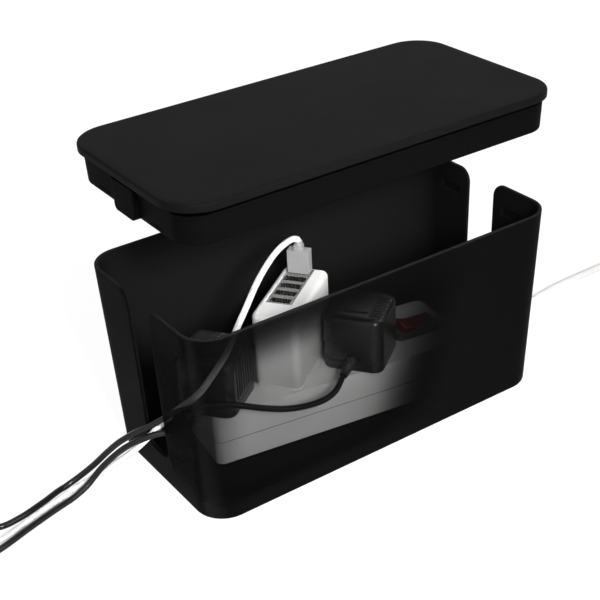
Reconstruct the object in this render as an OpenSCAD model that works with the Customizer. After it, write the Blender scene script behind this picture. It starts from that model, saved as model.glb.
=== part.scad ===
// Cable management box with its lid raised, holding a switched socket strip,
// a five port charger, two plug-in adapters and their cords.
// Millimetres. Origin on the table under the middle of the tub, +X along its
// length, +Y to its back, +Z up.

/* [Tub] */
// Length of the tub over its rim
tub_l = 235; // [230:1:245]
// Width of the tub over its rim
tub_w = 119; // [117:0.5:126]
// Height of the tub, without its pads
tub_h = 114.8; // [114.8:0.2:130]
// Wall thickness of the tub
tub_wall = 2.2; // [1.8:0.1:2.6]
// Floor thickness of the tub
tub_floor = 2.4; // [2:0.1:3]
// How far each end leans in from rim to floor
draft_x = 3.4; // [2:0.1:4]
// How far each long side leans in from rim to floor
draft_y = 5.3; // [3:0.1:6]
// Corner radius of the rim
tub_r = 17.4; // [14:0.2:19]
// Width of the cable slot in each end
slot_w = 22; // [20:1:28]
// Height of the slot's lower edge above the tub's underside
slot_z = 18.8; // [18:0.2:22]
// Radius that opens the slot's mouth at the rim
slot_mouth_r = 8.5; // [6:0.5:10]
// Radius in the slot's lower corners
slot_foot_r = 6; // [4:0.5:9]
// Diameter of each rubber pad under the tub
pad_d = 12; // [9:0.5:14]
// How far the pads stand proud of the tub
pad_proud = 0.6; // [0.4:0.1:1.2]
// How deep the pads sit in the floor
pad_sunk = 0.8; // [0.5:0.1:1.2]

/* [Lid] */
// How far the lid is raised above its seat
lift = 66.8; // [60:0.2:90]
// Overhang of the lid past each end of the rim
over_x = 1.3; // [0.8:0.1:3]
// Overhang of the lid past each long side of the rim
over_y = 0.4; // [0.2:0.1:2]
// Height of the lid's edge
lid_edge = 4.4; // [3.6:0.2:6]
// Thickness of the lid's top panel
lid_top = 2.4; // [2:0.1:3.4]
// Corner radius of the lid
lid_r = 21.5; // [18:0.5:24]
// Depth of the skirt below the lid's edge
skirt_h = 18; // [14:0.2:20]
// Thickness of the skirt
skirt_t = 1.8; // [1.4:0.1:2.4]
// Gap between the skirt and the tub's wall
skirt_gap = 0.45; // [0.4:0.05:0.8]
// Gap between each end tongue and its slot
tongue_gap = 0.6; // [0.4:0.1:1]
// How far the tongues reach below the skirt
tongue_drop = 1.2; // [0.6:0.2:3]
// Length of each snap rib
rib_l = 14; // [10:1:18]
// Height of each snap rib
rib_h = 3.6; // [1.2:0.2:4]
// How far each snap rib stands out
rib_out = 0.3; // [0.2:0.05:0.35]

/* [Socket strip] */
// Place of the middle socket along the tub
strip_x = -20.8; // [-24:0.2:-16]
// Place of the middle socket across the tub
strip_y = 4; // [2:0.2:6]
// Turn of the strip in the tub
strip_turn = -8.3; // [-9:0.1:-7]
// Strip from the middle socket to its left end
strip_left = 62; // [61:0.5:66]
// Strip from the middle socket to its right end
strip_right = 100; // [99:0.5:103]
// Width of the strip
strip_w = 54; // [52:0.5:58]
// Height of the strip's lower shell
base_h = 14.4; // [13:0.2:16]
// Height of the strip's cover
cover_h = 17.6; // [17:0.2:19]
// Wall thickness of the strip
strip_wall = 2; // [1.6:0.1:2.4]
// Radius of the strip's upright corners
strip_r = 5; // [3:0.5:8]
// Distance between sockets
pitch = 44.5; // [44:0.1:46]
// Diameter of a socket's round insert
insert_d = 30; // [29:0.5:32]
// Distance between the two pins of a plug
pin_gap = 19; // [18:0.1:19.4]
// Diameter of a plug pin
pin_d = 4; // [3.8:0.1:4.2]
// Length of a plug pin below its plug
pin_l = 19; // [17:0.5:19.5]
// Rocker switch from the middle socket
switch_x = 79; // [78:0.5:80]
// Length of the rocker
rocker_l = 21; // [18:0.5:22]
// Width of the rocker
rocker_w = 12; // [10:0.5:13]
// Tilt of the rocker either side of level
rocker_tilt = 8; // [5:0.5:9]

/* [Charger] */
// Length of the charger along its row of ports
charger_l = 59.5; // [57:0.5:60]
// Thickness of the charger
charger_t = 27; // [25:0.5:27.5]
// Height of the charger above the strip
charger_h = 47; // [45:0.5:48]
// Distance between ports
port_pitch = 8.5; // [7.1:0.1:8.6]
// Number of ports
port_n = 5; // [3:1:5]

/* [Adapters] */
// Width of an adapter across its pins
adapter_w = 35; // [33:0.5:36]
// Depth of an adapter
adapter_d = 37; // [35:0.5:38]
// Height of an adapter above the strip
adapter_h = 33.5; // [30:0.5:34]
// Height of an adapter's lower shell
adapter_base = 6; // [5:0.5:8]
// Adapter's middle ahead of its pins
adapter_set = 11.8; // [10:0.2:12.5]

/* [Cords] */
// Diameter of the adapters' cords
dc_d = 3.5; // [3:0.1:3.6]
// Diameter of the USB cable
usb_d = 3.5; // [3:0.1:3.6]
// Diameter of the mains lead
mains_d = 5; // [4.6:0.1:5.2]

/* [Hidden] */
$fn = 48;
fine = 96;          // facets of the larger round shapes
slab = 0.01;        // thickness of the outlines that a tapered shell is drawn between
eps = 0.02;         // how far a cut runs past the face it opens
fit = 0.05;         // radial clearance of pins in their holes
seat = 0.1;         // clearance round a piece that drops into another

black = [0.09, 0.09, 0.095];
white = [0.93, 0.93, 0.92];
grey = [0.62, 0.62, 0.61];
brass = [0.8, 0.65, 0.32];
steel = [0.75, 0.75, 0.76];
red = [0.72, 0.09, 0.08];

rim_z = pad_proud + tub_h;
tub_foot_r = 1.6;   // rounding of the tub's lower edge
lean_x = draft_x / tub_h;
lean_y = draft_y / tub_h;

lid_l = tub_l + 2 * over_x;
lid_w = tub_w + 2 * over_y;
lid_z = rim_z + lift;                       // underside of the lid's edge
lid_soft = 1.2;                             // rounding of the lid's upper edge
skirt_l = tub_l - 2 * (tub_wall + skirt_gap);
skirt_w = tub_w - 2 * (tub_wall + skirt_gap);
skirt_r = tub_r - tub_wall - skirt_gap;
tongue_w = slot_w - 2 * tongue_gap;
tongue_out = 0.3;                           // tongue face inside the tub's end
rib_y = slot_w / 2 + 16;                    // middle of each snap rib
rib_z = skirt_h - rib_h - 0.4;              // top of a rib below the lid's edge
rib_room = 0.6;                             // recess is this much larger than its rib
slot_cut_l = 40;                            // reach of a slot's cut through the end wall

strip_foot = 1;                             // height of the strip's feet
strip_z = pad_proud + tub_floor + strip_foot;
strip_h = base_h + cover_h;
strip_top = strip_z + strip_h;
strip_mid = (strip_right - strip_left) / 2;
strip_l = strip_left + strip_right;
sockets = [-pitch, 0, pitch];
socket_turn = 45;                           // sockets lie across the strip's corners
pin_off = pin_gap / 2 / sqrt(2);            // pins from the socket's middle, along and across
insert_t = 5;                               // depth of a socket insert
flange_t = 1.6;                             // rim under the cover that holds the insert
bus_z = 8;                                  // underside of the bus bars in the strip
bus_t = 1.2;
bus_w = 5;
clip_d = 6;
clip_top = strip_h - strip_wall - insert_t; // top of the contact tubes
boss_d = 6;
screw_d = 2.6;
gland_y = 12;                               // gland off the strip's middle line
gland_z = 21;                               // gland above the strip's underside
gland_l = 22;                               // tapered length outside the strip
gland_d = 8.4;
switch_l = 32;
switch_w = 20;
switch_rise = 3;
switch_slope = 2.4;                         // slope of the frame's sides, across
bus_start = sockets[0] - pin_off - 3;
bus_end = switch_x - switch_l / 2 - 2;
pivot_z = 1;                                // rocker's pivot above the strip's cover
pivot_d = 3;
rocker_out = 4;                             // rocker's crest above its pivot

charger_z = strip_top;
charger_off = [1.75, 0.8];                  // charger's middle off its socket
charger_r = 4.5;
charger_wall = 1.8;
charger_plate = 2.2;
port_end = 4.7;                             // last port from the case's inner end
port_side = 3;                              // row of ports off the middle line
port_in = [5.1, 12.5];
port_skin = 0.3;
port_depth = 12.4;
panel_margin = 0.9;
panel_t = 1.6;
ledge = 0.7;
board_t = 1.6;
board_room = 1;                             // board inside the case's walls
board_block = [16, 14, 14];                 // parts that hang under the board
panel_l = (port_n - 1) * port_pitch + port_in[0] + 2 * (port_skin + panel_margin);
panel_w = port_in[1] + 2 * (port_skin + panel_margin);
port_last = charger_off[0] + charger_l / 2 - charger_wall - port_end;
port_first = port_last - (port_n - 1) * port_pitch;
panel_mid = (port_first + port_last) / 2;
port_top = charger_z + charger_h - 0.2;
plug_in = 11.6;                             // how far the USB plug is pushed in
plug_size = [6.5, 13, 14.2];
neck_size = [4.4, 5.2, 3.3];

adapter_r = 6;
adapter_wall = 2;
adapter_plate = 2.4;
cradle_h = 1.5;                             // step that carries the transformer
core_size = [19, 24, 16];
left_relief_l = 10.5;
right_relief_l = 16;
relief_d = 6.4;
left_relief_z = strip_top + 6;
right_relief_z = strip_top + 7;
right_adapter_y = -2.4;                     // right adapter's body off its pins, to the side
cord_gap = 0.3;                             // cord starts this far from a relief that lifts off

usb_r = usb_d / 2;
dc_r = dc_d / 2;
mains_r = mains_d / 2;

// Cord routes, from the piece that the cord leaves to its coil on the table.
usb_route = [[-2.5, 21.3, 100.8], [-2.8, 21.1, 103.2], [-6.5, 19.3, 106.2], [-12.5, 16.4, 107.7],
    [-18.9, 13.2, 108.1], [-25.9, 9.7, 107.4], [-33, 6.2, 105.2], [-40.2, 2.6, 102],
    [-47.6, -2, 98.8], [-57.7, -9.1, 93.9], [-69.8, -17.4, 88.2], [-76.9, -23.1, 85.3], [-82.2, -25, 80.5],
    [-86.8, -24, 74.3], [-91.3, -22.3, 67.9], [-96, -20.8, 61.9], [-100.4, -18.2, 57.1],
    [-103.2, -12.5, 51.2], [-105.4, -6.8, 45.4], [-108.8, -3, 40], [-113, -1.6, 36.6],
    [-118, -1, 33], [-124.5, 1.4, 27.2], [-131, 6.8, 19.8], [-137.4, 13.4, 12.4],
    [-145, 19.4, 5.2], [-154, 21.6, 2], [-167, 18, 1.75], [-185, 12.8, 1.75], [-203, 7, 1.75],
    [-221, 2.4, 1.75], [-238, 0.6, 1.75]];
right_route = [[-17.9, -36, 42.2], [-21.8, -37.9, 40.4], [-26.6, -38.4, 38.4],
    [-32.4, -37.4, 36.9], [-39.5, -35.4, 36.2], [-51, -32, 37.2], [-63, -28.6, 41],
    [-75, -26.1, 46.3], [-84.4, -23.9, 50], [-91.5, -22.4, 51.9], [-98, -21.6, 53.4],
    [-104, -18.8, 52.8], [-107.7, -12.8, 49.1], [-110, -8, 45.6], [-113, -5, 42.6],
    [-118, -3, 40], [-125, 0.5, 37], [-133.5, 8, 29.5], [-139, 14.6, 21], [-145, 20.6, 12],
    [-152.5, 25, 5], [-161, 25.6, 1.9], [-177, 20.6, 1.75], [-193, 16.2, 1.75],
    [-202.5, 15.6, 1.75], [-208.4, 18, 1.75], [-211, 23, 1.75], [-210.5, 32, 1.75],
    [-204, 46, 1.75], [-196, 60, 1.75], [-193.6, 68, 1.75]];
left_route = [[-103.2, -17.1, 41.3], [-106.8, -16.6, 39.8], [-109.6, -14.3, 38],
    [-110.6, -11, 36.2], [-112.8, -8, 35.6], [-117, -6, 35.4], [-124, -2.6, 33.4],
    [-131.5, 4.8, 27], [-138, 11.2, 18.8], [-145, 15.4, 10.6], [-152.5, 15.8, 4.2],
    [-161, 14, 2.1], [-173, 11, 1.75], [-191, 5.6, 1.75], [-210, -0.6, 1.75], [-230, -4.4, 1.75],
    [-243, -3.6, 1.75], [-254, -1.9, 1.75]];
mains_route = [[107, -2.5, 25], [118, -3, 24.9], [126, -2, 23.6], [134, -0.2, 20.8],
    [144, 2.8, 15], [154, 6.4, 8.8], [164, 9.8, 4.3], [175, 12.6, 2.5], [192, 15.4, 2.5],
    [214, 17, 2.5], [236, 17.2, 2.5], [260, 17.4, 2.5], [284, 17.5, 2.5]];

// Coils: middle, radius to the middle of the turns, turns across and turns high.
usb_coil = [-241, 23];
right_coil = [-216, 70];
left_coil = [-258, -24];
small_coil_r = 19;
mains_coil = [284, -15];
mains_coil_r = 27.5;
coil_rows = 3;
dc_grip_r = 5;
dc_grip_l = 20;
barrel_r = 2.75;
barrel_l = 9.5;
micro_size = [11, 18, 7.5];
micro_tip = [6.9, 5, 1.8];
plug_tail = 22;
plug_body = [34, 26, 14];

// ---- shapes ----

// Outline of a rectangle with round corners, centred.
module round_rect(l, w, r) {
    square([l - 2 * r, w], center = true);
    square([l, w - 2 * r], center = true);
    for (x = [-1, 1], y = [-1, 1])
        translate([x * (l / 2 - r), y * (w / 2 - r)]) circle(r, $fn = fine);
}

// Upright block with round corners, standing on z = 0.
module round_block(l, w, r, h) {
    linear_extrude(h) round_rect(l, w, r);
}

// Thin corner discs of a rounded outline at height z, for a tapered hull.
module outline_at(l, w, r, z) {
    for (x = [-1, 1], y = [-1, 1])
        translate([x * (l / 2 - r), y * (w / 2 - r), z]) cylinder(h = slab, r = r, $fn = 32);
}

// Outline of the tub's outer or inner skin: in is the distance inside the outer skin.
module tub_outline(z, in) {
    down = rim_z - z;
    outline_at(tub_l - 2 * (in + lean_x * down), tub_w - 2 * (in + lean_y * down),
        max(2, tub_r - in), z);
}

function unit(v) = v / norm(v);
function along(p, i) = unit(p[min(i + 1, len(p) - 1)] - p[max(i - 1, 0)]);
function square_to(v, t) = unit(v - (v * t) * t);
// Carries a side vector along the route without twisting it.
function sides_of(p, i, v) = i == len(p) ? [] :
    let (n = square_to(v, along(p, i))) concat([n], sides_of(p, i + 1, n));

// Tube of radius r along the points p, with flat ends.
module tube(p, r) {
    facets = 8;
    n = sides_of(p, 0, [0.1, 1, 0.2]);
    ring = [for (i = [0:len(p) - 1]) let (b = cross(along(p, i), n[i]))
        for (k = [0:facets - 1]) let (a = 360 * k / facets)
            p[i] + r * (cos(a) * n[i] + sin(a) * b)];
    last = (len(p) - 1) * facets;
    polyhedron(ring, concat([[for (k = [0:facets - 1]) k]],
        [for (i = [0:len(p) - 2]) for (k = [0:facets - 1]) let (j = (k + 1) % facets)
            [i * facets + k, (i + 1) * facets + k, (i + 1) * facets + j, i * facets + j]],
        [[for (k = [facets - 1:-1:0]) last + k]]));
}

// Solid of a round coil that lies on the table.
module coil(middle, r, d) {
    translate([middle[0], middle[1], 0]) rotate_extrude($fn = fine)
        translate([r - coil_rows * d / 2, 0]) square(coil_rows * d);
}

// Places a piece in the strip's own frame: x along the strip from its middle socket.
module on_strip() {
    translate([strip_x, strip_y, strip_z]) rotate([0, 0, strip_turn]) children();
}

// Places a piece over socket s with x along the plug and its underside on the strip.
module on_socket(s) {
    on_strip() translate([s, 0, strip_h]) rotate([0, 0, socket_turn]) children();
}

// Pair of plug pins held in the plug's plate.
module pins(plate) {
    for (y = [-1, 1]) translate([0, y * pin_gap / 2, -pin_l])
        cylinder(h = pin_l + plate, d = pin_d);
}

module pin_holes(plate) {
    for (y = [-1, 1]) translate([0, y * pin_gap / 2, -eps])
        cylinder(h = plate + 2 * eps, d = pin_d + 2 * fit);
}

// ---- the box ----

module slot_cut() {
    top = tub_h + 1;
    rotate([90, 0, 90]) linear_extrude(slot_cut_l, center = true) {
        translate([-slot_w / 2, slot_z + slot_foot_r]) square([slot_w, top - slot_z]);
        translate([-slot_w / 2 + slot_foot_r, slot_z])
            square([slot_w - 2 * slot_foot_r, slot_foot_r + 1]);
        for (s = [-1, 1]) translate([s * (slot_w / 2 - slot_foot_r), slot_z + slot_foot_r])
            circle(slot_foot_r, $fn = fine);
        for (s = [-1, 1]) difference() {
            translate([s * (slot_w / 2 + slot_mouth_r / 2), tub_h + (1 - slot_mouth_r) / 2])
                square([slot_mouth_r + eps, slot_mouth_r + 1], center = true);
            translate([s * (slot_w / 2 + slot_mouth_r), tub_h - slot_mouth_r])
                circle(slot_mouth_r, $fn = fine);
            translate([s * (slot_w / 2 + slot_mouth_r * 1.5), tub_h])
                square([slot_mouth_r, 4], center = true);
        }
    }
}

module rib_recesses() {
    l = rib_l + 2 * rib_room;
    h = rib_h + 2 * rib_room;
    z = rim_z - rib_z - rib_h - rib_room;
    depth = rib_out + 0.5;
    inner = tub_l / 2 - tub_wall - lean_x * (rim_z - z);
    for (x = [-1, 1], y = [-1, 1])
        translate([x * inner, y * rib_y, z + h / 2]) cube([2 * depth, l, h], center = true);
}

module pads_at() {
    for (x = [-1, 1], y = [-1, 1])
        translate([x * (tub_l / 2 - tub_r - pad_d / 2), y * (tub_w / 2 - tub_r - pad_d / 2), 0])
            children();
}

module tub() {
    color(black) difference() {
        hull() {
            outline_at(tub_l - 2 * (draft_x + tub_foot_r), tub_w - 2 * (draft_y + tub_foot_r),
                tub_r - tub_foot_r, pad_proud);
            tub_outline(pad_proud + tub_foot_r, 0);
            tub_outline(rim_z - slab, 0);
        }
        hull() {
            tub_outline(pad_proud + tub_floor, tub_wall);
            tub_outline(rim_z + eps, tub_wall);
        }
        for (x = [-1, 1]) translate([x * tub_l / 2, 0, pad_proud]) slot_cut();
        rib_recesses();
        pads_at() translate([0, 0, pad_proud - eps]) cylinder(h = pad_sunk + eps, d = pad_d + 2 * seat);
    }
}

module foot_pads() {
    color([0.05, 0.05, 0.05]) pads_at() cylinder(h = pad_proud + pad_sunk, d = pad_d);
}

// One end of the skirt: the tongue that closes the slot and two snap ribs.
module skirt_end(x) {
    face = tub_l / 2 - tongue_out;
    back = skirt_l / 2 - skirt_t;
    drop = skirt_h + tongue_drop;
    tongue_r = 3;
    intersection() {
        translate([x * (face + back) / 2, 0, -drop / 2])
            cube([face - back, tongue_w + 2 * slot_mouth_r, drop], center = true);
        rotate([90, 0, 90]) linear_extrude(tub_l + 2, center = true) {
            translate([0, (tongue_r - drop) / 2])
                square([tongue_w, drop - tongue_r], center = true);
            translate([0, tongue_r - drop]) square([tongue_w - 2 * tongue_r, 2 * tongue_r], center = true);
            for (s = [-1, 1]) translate([s * (tongue_w / 2 - tongue_r), tongue_r - drop])
                circle(tongue_r, $fn = fine);
            // The tongue widens into the slot's mouth.
            for (s = [-1, 1]) difference() {
                translate([s * (tongue_w + slot_mouth_r) / 2, -slot_mouth_r / 2])
                    square([slot_mouth_r + eps, slot_mouth_r], center = true);
                translate([s * (slot_w / 2 + slot_mouth_r), -slot_mouth_r])
                    circle(slot_mouth_r + tongue_gap, $fn = fine);
            }
        }
    }
    rib_face = skirt_l / 2 - lean_x * rib_z;
    for (y = [-1, 1]) translate([x * (rib_face + rib_out - 0.5), y * rib_y, -rib_z - rib_h / 2])
        cube([1, rib_l, rib_h], center = true);
}

module lid() {
    foot_l = skirt_l - 2 * lean_x * skirt_h;
    foot_w = skirt_w - 2 * lean_y * skirt_h;
    color(black) translate([0, 0, lid_z]) {
        difference() {
            union() {
                hull() {
                    outline_at(lid_l, lid_w, lid_r, 0);
                    outline_at(lid_l, lid_w, lid_r, lid_edge - lid_soft);
                    outline_at(lid_l - 2 * lid_soft, lid_w - 2 * lid_soft, lid_r - lid_soft, lid_edge - slab);
                }
                hull() {
                    outline_at(foot_l, foot_w, skirt_r, -skirt_h);
                    outline_at(skirt_l, skirt_w, skirt_r, 0);
                }
                for (x = [-1, 1]) skirt_end(x);
            }
            hull() {
                outline_at(foot_l - 2 * skirt_t, foot_w - 2 * skirt_t, skirt_r - skirt_t,
                    -skirt_h - tongue_drop - 1);
                outline_at(skirt_l - 2 * skirt_t, skirt_w - 2 * skirt_t, skirt_r - skirt_t,
                    lid_edge - lid_top);
            }
        }
    }
}

// ---- the socket strip ----

module strip_outline(in) {
    translate([strip_mid, 0]) round_rect(strip_l - 2 * in, strip_w - 2 * in, strip_r - in);
}

module screws_at() {
    for (x = [-strip_left + strip_wall + boss_d / 2, strip_right - strip_wall - boss_d / 2], y = [-1, 1])
        translate([x, y * (strip_w / 2 - strip_wall - boss_d / 2), 0]) children();
}

module strip_base() {
    step = 0.9;
    color(white) on_strip() {
        difference() {
            union() {
                difference() {
                    linear_extrude(base_h) strip_outline(0);
                    translate([0, 0, strip_wall]) linear_extrude(base_h) strip_outline(strip_wall);
                }
                screws_at() cylinder(h = base_h, d = boss_d);
                // Ribs that carry the bus bars.
                for (s = [bus_start + 1, -pitch / 2, pitch / 2, bus_end - 3])
                    translate([s, -strip_w / 4, strip_wall - eps])
                        cube([2, strip_w / 2, bus_z - strip_wall + eps]);
            }
            screws_at() translate([0, 0, -eps]) {
                cylinder(h = base_h + 2 * eps, d = screw_d + 2 * fit);
                cylinder(h = 3 + eps, d = screw_d + 2.4);
            }
            // Feet sit in shallow dimples.
            feet_at() translate([0, 0, -eps]) cylinder(h = step + eps, d = 8 + 2 * seat);
        }
    }
}

module feet_at() {
    for (x = [-strip_left + 14, strip_right - 14], y = [-1, 1])
        translate([x, y * (strip_w / 2 - 9), 0]) children();
}

module strip_feet() {
    color([0.3, 0.3, 0.3]) on_strip() feet_at() translate([0, 0, -strip_foot])
        cylinder(h = strip_foot + 0.9, d = 8);
}

module strip_cover() {
    color(white) on_strip() difference() {
        union() {
            difference() {
                translate([0, 0, base_h]) linear_extrude(cover_h) strip_outline(0);
                translate([0, 0, base_h - eps]) linear_extrude(cover_h - strip_wall + eps)
                    strip_outline(strip_wall);
            }
            screws_at() translate([0, 0, base_h]) cylinder(h = cover_h - eps, d = boss_d);
        }
        for (s = sockets) translate([s, 0, strip_h - strip_wall - eps])
            cylinder(h = strip_wall + 2 * eps, d = insert_d + 2 * seat, $fn = fine);
        screws_at() translate([0, 0, base_h - eps]) cylinder(h = 9, d = screw_d + 2 * fit);
        translate([switch_x, 0, strip_h]) cube([rocker_l + 5, rocker_w + 5, 3 * strip_wall], center = true);
        translate([strip_right, gland_y, gland_z]) rotate([0, 90, 0])
            cylinder(h = 3 * strip_wall, d = gland_d - 2, center = true);
    }
}

module strip_screws() {
    color(steel) on_strip() screws_at() {
        translate([0, 0, 0.8]) cylinder(h = 2.2, d = screw_d + 2);
        translate([0, 0, 3]) cylinder(h = base_h + 4, d = screw_d);
    }
}

// Pin and earth holes of a socket, in line across the plug.
module socket_holes() {
    for (y = [-1, 0, 1]) translate([0, y * pin_gap / 2, -strip_h])
        cylinder(h = strip_h + 1, d = pin_d + 2 * fit);
}

module socket_inserts() {
    color(white) for (s = sockets) on_socket(s) difference() {
        union() {
            translate([0, 0, -insert_t - eps]) cylinder(h = insert_t, d = insert_d, $fn = fine);
            translate([0, 0, -strip_wall - flange_t]) linear_extrude(flange_t) intersection() {
                circle(d = insert_d + 3, $fn = fine);
                rotate([0, 0, -socket_turn]) translate([-s, 0, 0]) strip_outline(strip_wall + seat);
            }
        }
        socket_holes();
    }
}

// Bar with one contact tube for each socket.
module bus_bar(side) {
    color(brass) on_strip() difference() {
        union() {
            translate([bus_start, side * pin_off - bus_w / 2, bus_z])
                cube([bus_end - bus_start, bus_w, bus_t]);
            for (s = sockets) translate([s - side * pin_off, side * pin_off, bus_z])
                cylinder(h = clip_top - bus_z - seat, d = clip_d);
        }
        for (s = sockets) translate([s - side * pin_off, side * pin_off, strip_h - pin_l - 0.3])
            cylinder(h = strip_h, d = pin_d + 2 * fit);
    }
}

module live_bus_bar() { bus_bar(1); }
module neutral_bus_bar() { bus_bar(-1); }
module earth_bus_bar() { bus_bar(0); }

// Raised frame round the rocker, with sloping sides, seated on the cover.
module switch_frame() {
    slope = switch_slope;
    wall_w = rocker_w + 4.6;
    wall_l = rocker_l + 4.6;
    deep = 7;
    color(grey) on_strip() translate([switch_x, 0, strip_h]) difference() {
        union() {
            intersection() {
                linear_extrude(switch_rise) polygon([[-switch_l / 2, -switch_w / 2 + slope],
                    [-switch_l / 2 + slope, -switch_w / 2], [switch_l / 2 - slope, -switch_w / 2],
                    [switch_l / 2, -switch_w / 2 + slope], [switch_l / 2, switch_w / 2 - slope],
                    [switch_l / 2 - slope, switch_w / 2], [-switch_l / 2 + slope, switch_w / 2],
                    [-switch_l / 2, switch_w / 2 - slope]]);
                rotate([90, 0, 0]) linear_extrude(switch_w + 2, center = true)
                    polygon([[-switch_l / 2, 0], [switch_l / 2, 0], [switch_l / 2, 0.8],
                        [switch_l / 2 - slope, switch_rise], [slope - switch_l / 2, switch_rise],
                        [-switch_l / 2, 0.8]]);
                rotate([90, 0, 90]) linear_extrude(switch_l + 2, center = true)
                    polygon([[-switch_w / 2, 0], [switch_w / 2, 0], [switch_w / 2, 0.8],
                        [switch_w / 2 - slope, switch_rise], [slope - switch_w / 2, switch_rise],
                        [-switch_w / 2, 0.8]]);
            }
            translate([-wall_l / 2, -wall_w / 2, -deep]) cube([wall_l, wall_w, deep + 1]);
        }
        translate([-rocker_l / 2 - 0.5, -rocker_w / 2 - 0.3, -deep - 1])
            cube([rocker_l + 1, rocker_w + 0.6, deep + switch_rise + 2]);
        translate([0, 0, pivot_z]) rotate([90, 0, 0])
            cylinder(h = wall_w - 1.6, d = pivot_d + 2 * fit, center = true);
    }
}

module switch_block() {
    top = strip_h - 7.2;
    color([0.2, 0.2, 0.2]) on_strip() translate([switch_x, 0, 0]) {
        translate([-rocker_l / 2 - 2, -rocker_w / 2 - 2, bus_z])
            cube([rocker_l + 4, rocker_w + 4, top - bus_z]);
        translate([-2, -4, strip_wall]) cube([4, 8, bus_z - strip_wall]);
    }
}

module switch_rocker() {
    half = rocker_l / 2;
    color(red) on_strip() translate([switch_x, 0, strip_h + pivot_z]) rotate([0, rocker_tilt, 0])
        rotate([90, 0, 0]) {
            intersection() {
                linear_extrude(rocker_w, center = true) polygon([[-half, -1], [-half, rocker_out],
                    [0, rocker_out - 1.5], [half, rocker_out], [half, -1], [4, -5], [-4, -5]]);
                cylinder(h = rocker_w, r = half, center = true, $fn = fine);
            }
            cylinder(h = rocker_w + 2, d = pivot_d, center = true);
        }
}

// Tapered rubber gland, gripped by the cover's end wall.
module mains_gland() {
    color([0.85, 0.85, 0.84]) on_strip() translate([strip_right, gland_y, gland_z]) rotate([0, 90, 0]) {
        rotate_extrude() polygon([[mains_r, -strip_wall - 3], [gland_d / 2 + 0.6, -strip_wall - 3],
            [gland_d / 2 + 0.6, -strip_wall - seat], [gland_d / 2 - 1 - fit, -strip_wall - seat],
            [gland_d / 2 - 1 - fit, seat], [gland_d / 2, seat], [gland_d / 2, 3],
            [mains_r + 0.9, gland_l], [mains_r, gland_l]]);
    }
}

// ---- the charger ----

// Charger's own frame: x along its row of ports from its socket, z = 0 on the strip.
module on_charger() {
    on_socket(0) children();
}

module ports_at() {
    for (i = [0:port_n - 1]) translate([port_first + i * port_pitch, port_side, 0]) children();
}

module charger_case() {
    roof = charger_h - 2.6;
    color(white) on_charger() difference() {
        translate([charger_off[0], charger_off[1], charger_plate])
            round_block(charger_l, charger_t, charger_r, charger_h - charger_plate);
        translate([charger_off[0], charger_off[1], charger_plate - eps])
            round_block(charger_l - 2 * charger_wall, charger_t - 2 * charger_wall,
                charger_r - charger_wall, roof - charger_plate);
        translate([panel_mid, port_side, charger_h])
            cube([panel_l - 2 * ledge, panel_w - 2 * ledge, 8], center = true);
        translate([panel_mid, port_side, charger_h])
            cube([panel_l + 2 * seat, panel_w + 2 * seat, 2 * panel_t], center = true);
    }
}

module charger_base() {
    post = port_top - port_depth - board_t - charger_z - charger_plate;
    post_x = charger_l / 2 - charger_wall - 3;
    color(white) on_charger() difference() {
        union() {
            translate(charger_off) round_block(charger_l, charger_t, charger_r, charger_plate);
            for (x = [-1, 1])
                translate([charger_off[0] + x * post_x, charger_off[1], charger_plate - eps])
                    cylinder(h = post + eps, d = 4);
        }
        pin_holes(charger_plate);
    }
}

module charger_pins() { color(steel) on_charger() pins(charger_plate); }

module charger_board() {
    z = port_top - port_depth - board_t - charger_z;
    board_l = charger_l - 2 * (charger_wall + board_room);
    board_w = charger_t - 2 * (charger_wall + board_room);
    color([0.1, 0.35, 0.16]) on_charger() translate([charger_off[0], charger_off[1], z]) {
        translate([-board_l / 2, -board_w / 2, 0]) cube([board_l, board_w, board_t]);
        translate([-board_block[0] / 2, -board_block[1] / 2, -board_block[2]]) cube(board_block);
    }
}

module usb_panel() {
    hole = [port_in[0] + 2 * (port_skin + seat), port_in[1] + 2 * (port_skin + seat), 4];
    color(grey) on_charger() difference() {
        translate([panel_mid - panel_l / 2, port_side - panel_w / 2, charger_h - panel_t])
            cube([panel_l, panel_w, panel_t]);
        ports_at() translate([0, 0, charger_h]) cube(hole, center = true);
    }
}

module usb_port_shells() {
    out = [port_in[0] + 2 * port_skin, port_in[1] + 2 * port_skin];
    color(steel) on_charger() ports_at() translate([0, 0, port_top - charger_z - port_depth]) difference() {
        translate([-out[0] / 2, -out[1] / 2, 0]) cube([out[0], out[1], port_depth]);
        translate([-port_in[0] / 2, -port_in[1] / 2, -1]) cube([port_in[0], port_in[1], port_depth + 2]);
    }
}

module usb_port_tongues() {
    color([0.12, 0.12, 0.12]) on_charger() ports_at() translate([0, 0, port_top - charger_z - port_depth]) {
        translate([-port_in[0] / 2, -port_in[1] / 2, 0]) cube([port_in[0], port_in[1], 0.6]);
        translate([-1.8, -5.2, 0]) cube([1.7, 10.4, 9]);
    }
}

// USB plug in the last port, in the frame of that port's mouth.
module on_last_port() {
    on_charger() translate([port_last, port_side, charger_h]) children();
}

module usb_plug_body() {
    stub = 0.3;
    color([0.55, 0.55, 0.56]) on_last_port() {
        translate([-plug_size[0] / 2, -plug_size[1] / 2, stub]) cube(plug_size);
        translate([-neck_size[0] / 2, -neck_size[1] / 2, stub + plug_size[2] - eps]) cube(neck_size);
        translate([0.15, -5.6, -plug_in]) cube([1.7, 11.2, plug_in + stub + eps]);
    }
}

module usb_plug_shell() {
    skin = 0.3;
    size = [4.5, 12];
    color(steel) on_last_port() translate([0, 0, -plug_in]) difference() {
        translate([-size[0] / 2, -size[1] / 2, 0]) cube([size[0], size[1], plug_in + 0.3]);
        translate([skin - size[0] / 2, skin - size[1] / 2, -1])
            cube([size[0] - 2 * skin, size[1] - 2 * skin, plug_in + 3]);
    }
}

// ---- the adapters ----

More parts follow.
